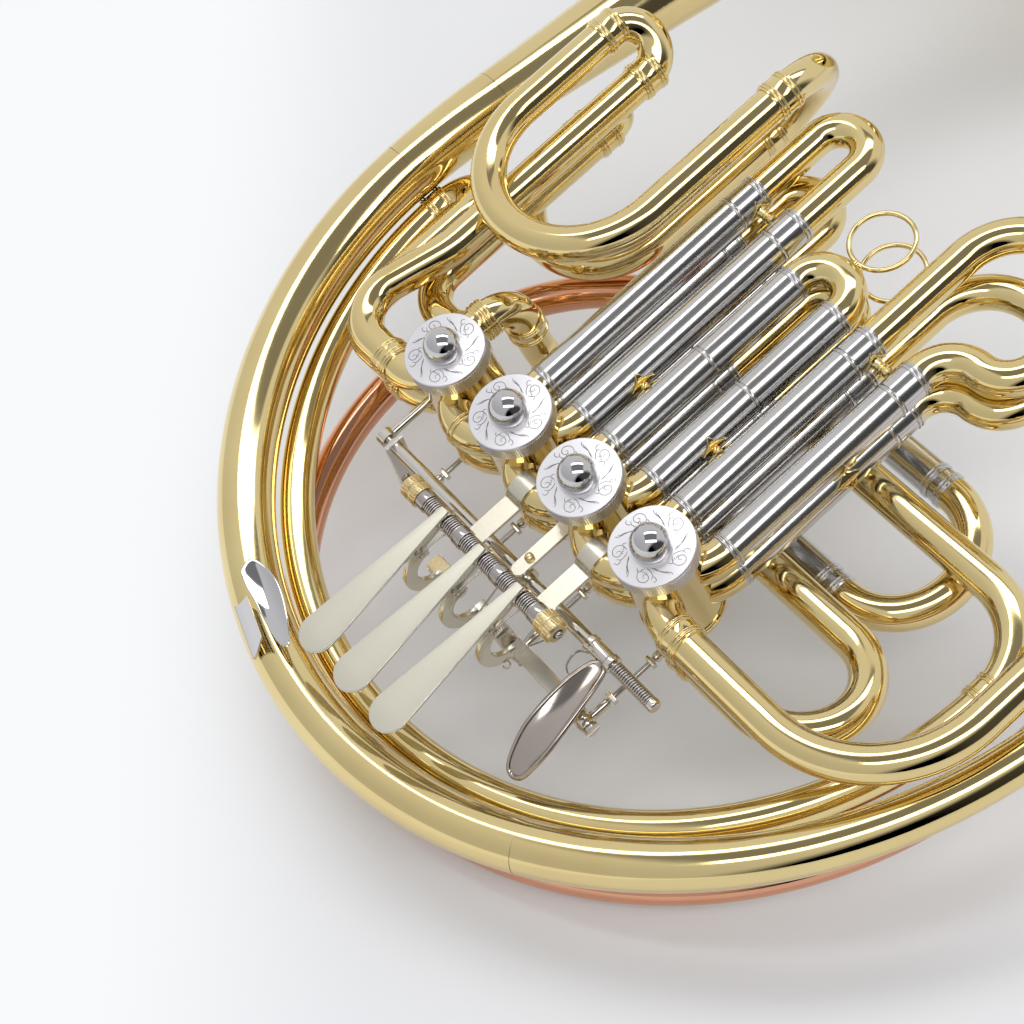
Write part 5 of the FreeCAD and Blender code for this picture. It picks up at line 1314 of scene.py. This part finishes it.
class HORN_OT_axle_and_springs(Operator):
    """Turns the key axle, its collars and knurled nuts, and coils the return springs"""
    bl_idname = "horn.axle_and_springs"
    bl_label = "Axle and springs"

    def execute(self, context):
        keys = context.scene.horn_keys
        nut, steel = finish("nut"), finish("steel")
        high, low = BETWEEN[0] + 10.5, BETWEEN[3] - 10.5
        bar = lathe(box(0, 2.0, 0, high - low), (AXLE_X, low, AXLE_Z), Y)
        parts = []
        for n, y in enumerate(BETWEEN):
            wide = 3.9 + 0.06 * (n % 2)
            parts.append(lathe(box(1.9, wide, -2.02, 2.02), (AXLE_X, y, AXLE_Z), Y,
                               ease=0.35))
        # The axle bar is near black as painted shade, so the gaps between the spring coils read
        # dark.
        piece("axle_bar", bar, "horn", finish("dark_steel"), ["key_axle"])
        piece("axle_collars", joined(parts), "horn", finish("rod_steel"))
        nuts, tips = [], []
        for y, way in ((BETWEEN[0] + 2.05, Y), (BETWEEN[3] - 2.05, -Y)):
            core = lathe([(2.0, 0), (4.2, 0), (4.2, 3.9), (3.85, 4.1), (3.85, 4.4),
                          (4.2, 4.6), (4.2, 7.6), (3.5, 8.4), (2.0, 8.4)],
                         (AXLE_X, y, AXLE_Z), way)
            nuts.append(core)
            for start in (0.4, 4.8):
                band = knurling(box(-0.2, 0.4, -1.3, 1.3), 0.55, start + 1.35, 0.09,
                                keys.nut_knurls, 4.3, nut)
                band.transform(frame_at((AXLE_X, y, AXLE_Z), way))
                nuts.append(band)
            dome = [(0, 0), (1.5, 0)] + [(1.5 * cos(a), 0.5 + 1.2 * sin(a))
                                         for a in (0.2, 0.5, 0.8, 1.1, 1.4)] + [(0, 1.7)]
            tips.append(lathe(dome, Vector((AXLE_X, y, AXLE_Z)) + way * 8.3, way,
                              sides=32, ease=0))
        piece("axle_nuts_knurled", joined(nuts), "horn", nut, ["axle_nuts"])
        piece("axle_tips", joined(tips), "horn", finish("rod_steel"))
        coils, legs = [], []
        for n, y in enumerate(KEY_ROWS):
            for side, stop in ((1, BETWEEN[n]), (-1, BETWEEN[n + 1])):
                start, end = y + side * 2.4, stop - side * 2.0
                turns = abs(end - start) / (2 * keys.wire + keys.wire_gap)
                coils.append(spring(AXLE_X, AXLE_Z, start, end, 3.25, turns))
                anchor = Vector((AXLE_X - 3.2, end - side * 0.6, AXLE_Z + 0.4))
                legs.append(wire_leg(
                    [Vector((AXLE_X, end - side * 0.6, AXLE_Z - 3.3)),
                     anchor + Vector((6.0, 0, -9.5)), anchor + Vector((9.0, 0, -12.5))],
                    keys.wire))
                legs.append(wire_leg(
                    [Vector((AXLE_X, start + side * 0.6, AXLE_Z - 3.3)),
                     Vector((AXLE_X - 7.0, y + side * 2.0, AXLE_Z - 3.0)),
                     Vector((AXLE_X - 13.0, y + side * 1.7, AXLE_Z - 3.2))], keys.wire,
                    ((AXLE_X - 14.2, y + side * 1.7, AXLE_Z - 4.0), Y)))
        coils.append(spring(THUMB_X, THUMB_Z, -125.4, -144.1, 2.2, 17.5))
        for y in KEY_ROWS[1:]:
            hook = Vector((-59.2, y - 7.4, -26.0))
            for root, level in ((-9.0, -17.0), (-11.0, -25.0)):
                legs.append(wire_leg([Vector((AXLE_X - 3.0, y + root, level)),
                                      hook + Vector((5.0, -0.9, 4.0)), hook + Y * 1.5],
                                     keys.wire, (hook, LOOKED_ALONG)))
        wires = swept([leg.line() for leg in legs], steel, sides=10)
        piece("springs", joined(coils + [wires]), "horn", steel, ["return_springs"],
              angle=80)
        dress("key_brackets", "arms")
        dress("thumb_axle", "bright_key")
        return {"FINISHED"}


class HORN_OT_thumb_lever(Operator):
    """Shapes the thumb lever: its tube, its arm with the screw, and its dished spoon"""
    bl_idname = "horn.thumb_lever"
    bl_label = "Thumb lever"

    def execute(self, context):
        bright = finish("bright_key")
        foot, top = -125.0, 1.6
        tube = lathe([(1.56, 0), (3.1, 0), (3.4, 0.3), (3.4, 2.3), (3.0, 2.7),
                      (3.0, 10.3), (3.4, 10.7), (3.4, 12.7), (3.1, 13.0), (2.6, 13.0),
                      (2.6, top - foot), (1.56, top - foot)], (THUMB_X, foot, THUMB_Z), Y)
        rod_y = CHANGE - ROD_SIDE
        ear_y = rod_y + EAR_ASIDE
        ear = [(THUMB_X - 4.0, THUMB_Z + 3.6), (THUMB_X + 4.0, THUMB_Z + 3.6),
               (THUMB_X + 3.0, THUMB_Z - 6.0)]
        ear += ear_end(THUMB_BALL_X) + [(THUMB_X - 5.0, THUMB_Z - 6.0)]
        arm = plate(ear, 2.2, on_xz(ear_y), ease=0.4)
        pin = ball_pin(THUMB_BALL_X, ear_y, rod_y)
        piece("thumb_tube", joined([tube, arm] + pin), "thumb_lever", bright,
              ["thumb_lever"], angle=40)

        controls = [(-40.4, -118.2), (-47.5, -117.5), (-57.4, -118.0), (-68.4, -119.7),
                    (-77.2, -123.0), (-82.3, -126.3), (-83.4, -129.8), (-80.8, -132.6),
                    (-71.5, -132.4), (-62.0, -130.6), (-52.8, -128.4), (-44.5, -126.4),
                    (-38.6, -124.4), (-36.8, -121.9), (-37.7, -119.3)]
        outline = smooth_outline(controls, 6)
        bow, bow_x = 73.4, -47.5

        def dish(u, v, height):
            drop = bow - sqrt(bow ** 2 - (u - bow_x) ** 2) - 0.8
            across = v + 121.5 + 0.18 * (-38.0 - u)
            return Vector((u + 0.07 * drop, v + 0.52 * drop,
                           THUMB_Z - drop + 0.035 * across ** 2 + height))

        # The spoon and its bead wear the spoon finish, a darker nickel that paints in the
        # reflection its dish mirrors.
        spoon = shell(outline, dish, 1.3, rings=10)
        rim = [dish(u, v, 0.0) for u, v in outline + outline[:2]]
        bead = swept([(rim, [0.95] * len(rim))], finish("spoon"), sides=16)
        piece("thumb_spoon", joined([spoon, bead]), "thumb_lever", finish("spoon"),
              angle=60)
        arc = wire_leg([Vector(spot) for spot in (
            (-47.0, -118.2, -23.4), (-46.7, -115.9, -22.0), (-45.1, -114.6, -20.0),
            (-41.3, -114.3, -18.6), (-38.9, -114.9, -19.0), (-37.0, -116.2, -21.5))],
                       0.42)
        tubing("thumb_wire", [arc], finish("steel"), "thumb_lever", sides=10)
        return {"FINISHED"}


class HORN_OT_fittings(Operator):
    """Shapes the finger hook on the hoop and the small braces between the sleeves"""
    bl_idname = "horn.fittings"
    bl_label = "Hook and braces"

    def execute(self, context):
        brass, mirror = finish("brass"), finish("mirror")
        outward = Vector((*polar(1, radians(162.2)), 0))
        along = Z.cross(outward)
        middle = HOOP_AT + outward * HOOP_BEND + Z * HOOP

        def place(forward, out, rise):
            return middle + along * forward + outward * out + Z * rise

        controls = [(-16.4, -6.3), (-10.6, -10.1), (-2.7, -12.1), (8.8, -11.4),
                    (19.6, -9.4), (22.9, -8.0), (21.0, -5.4), (15.0, -3.7), (6.6, -2.6),
                    (-1.2, -2.0), (-6.5, -1.2), (-13.0, -1.6)]
        outline = smooth_outline(controls, 5)

        def dish(u, v, height):
            bent = 0.05 * (v + 7.0) ** 2 + 0.006 * (u - 3.0) ** 2
            return place(u, v, 15.5 + bent - 1.2 + height)

        petal = shell(outline, dish, 1.3, rings=8)
        lines = []
        for share in (n / 8 for n in range(9)):
            turn = radians(36 - 38 * share)
            reach = 10.7 + 6.2 * share ** 2
            lines.append((reach * sin(turn) * (1 - 0.2 * share), reach * cos(turn),
                          -6.0 + 3.5 * share, 17.0 - 1.5 * share))
        work = bmesh.new()
        rows = []
        for out, rise, first, last in lines:
            row = []
            for extra in (0.0, 1.3):
                row.append([work.verts.new(place(first + (last - first) * k / 6,
                                                 out * (1 + extra / 12),
                                                 rise + extra * 0.8)) for k in range(7)])
            rows.append(row)
        for row, after in zip(rows, rows[1:]):
            for k in range(6):
                for deck in (0, 1):
                    work.faces.new((row[deck][k], row[deck][k + 1], after[deck][k + 1],
                                    after[deck][k]))
            for k in (0, 6):
                work.faces.new((row[0][k], row[1][k], after[1][k], after[0][k]))
        for row in (rows[0], rows[-1]):
            for k in range(6):
                work.faces.new((row[0][k], row[0][k + 1], row[1][k + 1], row[1][k]))
        bmesh.ops.recalc_face_normals(work, faces=work.faces)
        saddle = to_mesh("saddle", work)
        piece("hook", joined([petal, saddle]), "horn", mirror, ["finger_hook"], angle=50)

        parts = []
        for high, low in ((THIRD - HALF_LEGS, SECOND + HALF_LEGS),
                          (SECOND - HALF_LEGS, FIRST + HALF_LEGS)):
            parts.append(wrapped(41.5, high, UPPER, -78, 5.2))
            parts.append(wrapped(41.5, low, UPPER, 78, 5.2))
            span = high - low - 2 * TUBE
            neck = [(0, -0.8), (3.1, -0.8), (1.9, 0.6), (1.5, span / 2),
                    (1.9, span - 0.6), (3.1, span + 0.8), (0, span + 0.8)]
            parts.append(lathe(neck, (41.5, high - TUBE, UPPER), -Y, sides=32, ease=0.5))
        parts.append(wrapped(66.0, FIRST - HALF_LEGS, UPPER, -125, 5.2))
        parts.append(wrapped(66.0, FIRST - HALF_LEGS, LOWER, -55, 5.2))
        piece("sleeve_braces", joined(parts), "horn", brass, ["braces"])
        rivet = [(0, 0), (1.75, 0), (1.75, 0.9), (1.35, 1.6), (0.7, 1.95), (0, 2.05)]
        piece("bracket_rivet", lathe(rivet, (THUMB_X + 5.0, SECOND, -17.7), Z, sides=32),
              "horn", finish("nut"))
        return {"FINISHED"}


# ------------------------------------------------------------------ stage

SPIN = LAY.to_3x3().normalized()
ROOM_MIDDLE = Vector((0.31, -0.12, 0.94)).normalized()
ROOM_ALONG = Vector((0.83, -0.55, 0.0))
EYE = Vector((-94.0, -465.8, 634.5))
LOOKED_ALONG = Vector((0.093, 0.528, -0.844))
VIEW_RIGHT = Vector((0.74, -0.605, -0.297))
LENS = 79.1
# Metres across the view from the eye's line, between which the floor's painted pool of white
# light fades out.
PAINTED_LIGHT_FADE = (-0.15, -0.04)


def room_axes():
    """The open side of the tent: its middle, the lamps' line and the way across them."""
    middle = SPIN @ ROOM_MIDDLE
    along = SPIN @ ROOM_ALONG
    along = (along - middle * along.dot(middle)).normalized()
    return middle, along, middle.cross(along)


def lamp(name, place, target, along, size, glow):
    """A flat lamp of even brightness that faces a target, its length along a line."""
    light = bpy.data.lights.new(name, "AREA")
    light.shape = "RECTANGLE"
    light.size, light.size_y = size
    light.energy = glow * pi * size[0] * size[1]
    back = (Vector(place) - Vector(target)).normalized()
    right = (along - back * along.dot(back)).normalized()
    loose(name, light).matrix_world = placed(right, back.cross(right), back, place)


class HORN_OT_stage(Operator):
    """Sets the pale floor with its painted pool of light, the white tent, the ceiling lamps and
    the camera
    """
    bl_idname = "horn.stage"
    bl_label = "Stage"

    def execute(self, context):
        scene = context.scene
        stage = scene.horn_stage
        work = bmesh.new()
        bmesh.ops.create_grid(work, x_segments=1, y_segments=1, size=6.0)
        floor = loose("floor", to_mesh("floor", work))
        material = bpy.data.materials.new("pale_floor")
        nodes = shader(material)
        surface = nodes.add("ShaderNodeBsdfPrincipled", {
            "Base Color": (*stage.floor, 1), "Roughness": 0.7}, "BSDF")
        # For camera, glossy and transmission rays the floor is partly a white glow: an even
        # small share, plus a share that fades in by position towards the left of the view, a
        # painted pool of light that washes out the shadow there.
        seen = sum((nodes.add("ShaderNodeLightPath", output=f"Is {kind} Ray")
                    for kind in ("Glossy", "Transmission")),
                   nodes.add("ShaderNodeLightPath", output="Is Camera Ray"))
        spot = nodes.add("ShaderNodeNewGeometry", output="Position")
        across_floor = SPIN @ VIEW_RIGHT
        offset = nodes.dot(spot, across_floor) - (LAY @ EYE).dot(across_floor)
        away = 1 - offset.step(*PAINTED_LIGHT_FADE)
        white = nodes.add("ShaderNodeEmission", {"Color": (0.97, 0.985, 1.0, 1)},
                          "Emission")
        mixed = nodes.add("ShaderNodeMixShader", {
            0: seen * (away * 0.75 + 0.08), 1: surface, 2: white}, "Shader")
        nodes.add("ShaderNodeOutputMaterial", {"Surface": mixed}, output=None)
        floor.data.materials.append(material)

        middle, along, across = room_axes()
        world = bpy.data.worlds.new("studio")
        scene.world = world
        nodes = shader(world)
        way = nodes.add("ShaderNodeTexCoord", output="Generated")

        ahead = nodes.add("ShaderNodeMath", {0: nodes.dot(way, middle), 1: 0.05},
                          operation="MAXIMUM")
        reach = nodes.dot(way, along) / ahead
        cross = nodes.dot(way, across) / ahead
        front = nodes.dot(way, middle).step(0.1, 0.3)
        window = (1 - abs(reach).step(0.55, 0.70)) * (1 - abs(cross).step(0.30, 0.42))
        slot = ((1 - abs(reach - 0.25).step(0.42, 0.5))
                * (1 - abs(cross - 0.72).step(0.06, 0.11)))
        dim = nodes.dot(way, SPIN @ -Y).step(0.52, 0.78)
        side = nodes.dot(way, SPIN @ -X).step(-0.2, 0.9)
        tent = 1 - side * 0.25 - dim * 0.9
        level = tent * (1 - window * front * 0.68) * (1 - slot * front * 0.7)
        glow = nodes.add("ShaderNodeBackground", {"Color": (0.98, 0.985, 1.0, 1),
                                                  "Strength": level * stage.tent})
        nodes.add("ShaderNodeOutputWorld", {"Surface": glow}, output=None)

        over = LAY @ Vector((40, -60, -30))
        for name, shift in (("lamp_near", -0.47), ("lamp_far", 0.47)):
            place = over + (middle + across * shift) * 1.7
            lamp(name, place, over, along, (2.1, 0.42), stage.lamp)

        camera = bpy.data.cameras.new("view")
        camera.lens, camera.sensor_width = LENS, 36.0
        scene.camera = loose("view", camera)
        back = SPIN @ -LOOKED_ALONG.normalized()
        up = back.cross(across_floor).normalized()
        scene.camera.matrix_world = placed(up.cross(back).normalized(), up, back,
                                           LAY @ EYE)
        scene.view_settings.view_transform = "Standard"
        return {"FINISHED"}


# ------------------------------------------------------------------ panel and entry

OPERATORS = (HORN_OT_hoop_and_bell, HORN_OT_valve_tubing, HORN_OT_leadpipe,
             HORN_OT_tuning_slide, HORN_OT_valve_slides, HORN_OT_valves,
             HORN_OT_finger_keys, HORN_OT_push_rods, HORN_OT_axle_and_springs,
             HORN_OT_thumb_lever, HORN_OT_fittings, HORN_OT_stage)
SETTINGS = (("horn_tubes", HornTubes), ("horn_keys", HornKeys),
            ("horn_finish", HornFinish), ("horn_stage", HornStage))


class HORN_PT_panel(Panel):
    """Lists the horn's pieces and their settings"""
    bl_idname = "HORN_PT_panel"
    bl_label = "Double horn"
    bl_space_type = "VIEW_3D"
    bl_region_type = "UI"
    bl_category = "Horn"

    def draw(self, context):
        for name, group in SETTINGS:
            box = self.layout.box()
            box.label(text=group.__doc__)
            for key in group.__annotations__:
                box.prop(getattr(context.scene, name), key)
        for operator in OPERATORS:
            self.layout.operator(operator.bl_idname)


def register():
    for name, group in SETTINGS:
        bpy.utils.register_class(group)
        setattr(bpy.types.Scene, name, PointerProperty(type=group))
    for item in OPERATORS + (HORN_PT_panel,):
        bpy.utils.register_class(item)


def unregister():
    for item in reversed(OPERATORS + (HORN_PT_panel,)):
        bpy.utils.unregister_class(item)
    for name, group in reversed(SETTINGS):
        delattr(bpy.types.Scene, name)
        bpy.utils.unregister_class(group)


def main():
    register()
    for operator in OPERATORS:
        group, name = operator.bl_idname.split(".")
        getattr(getattr(bpy.ops, group), name)()


if __name__ == "__main__":
    main()
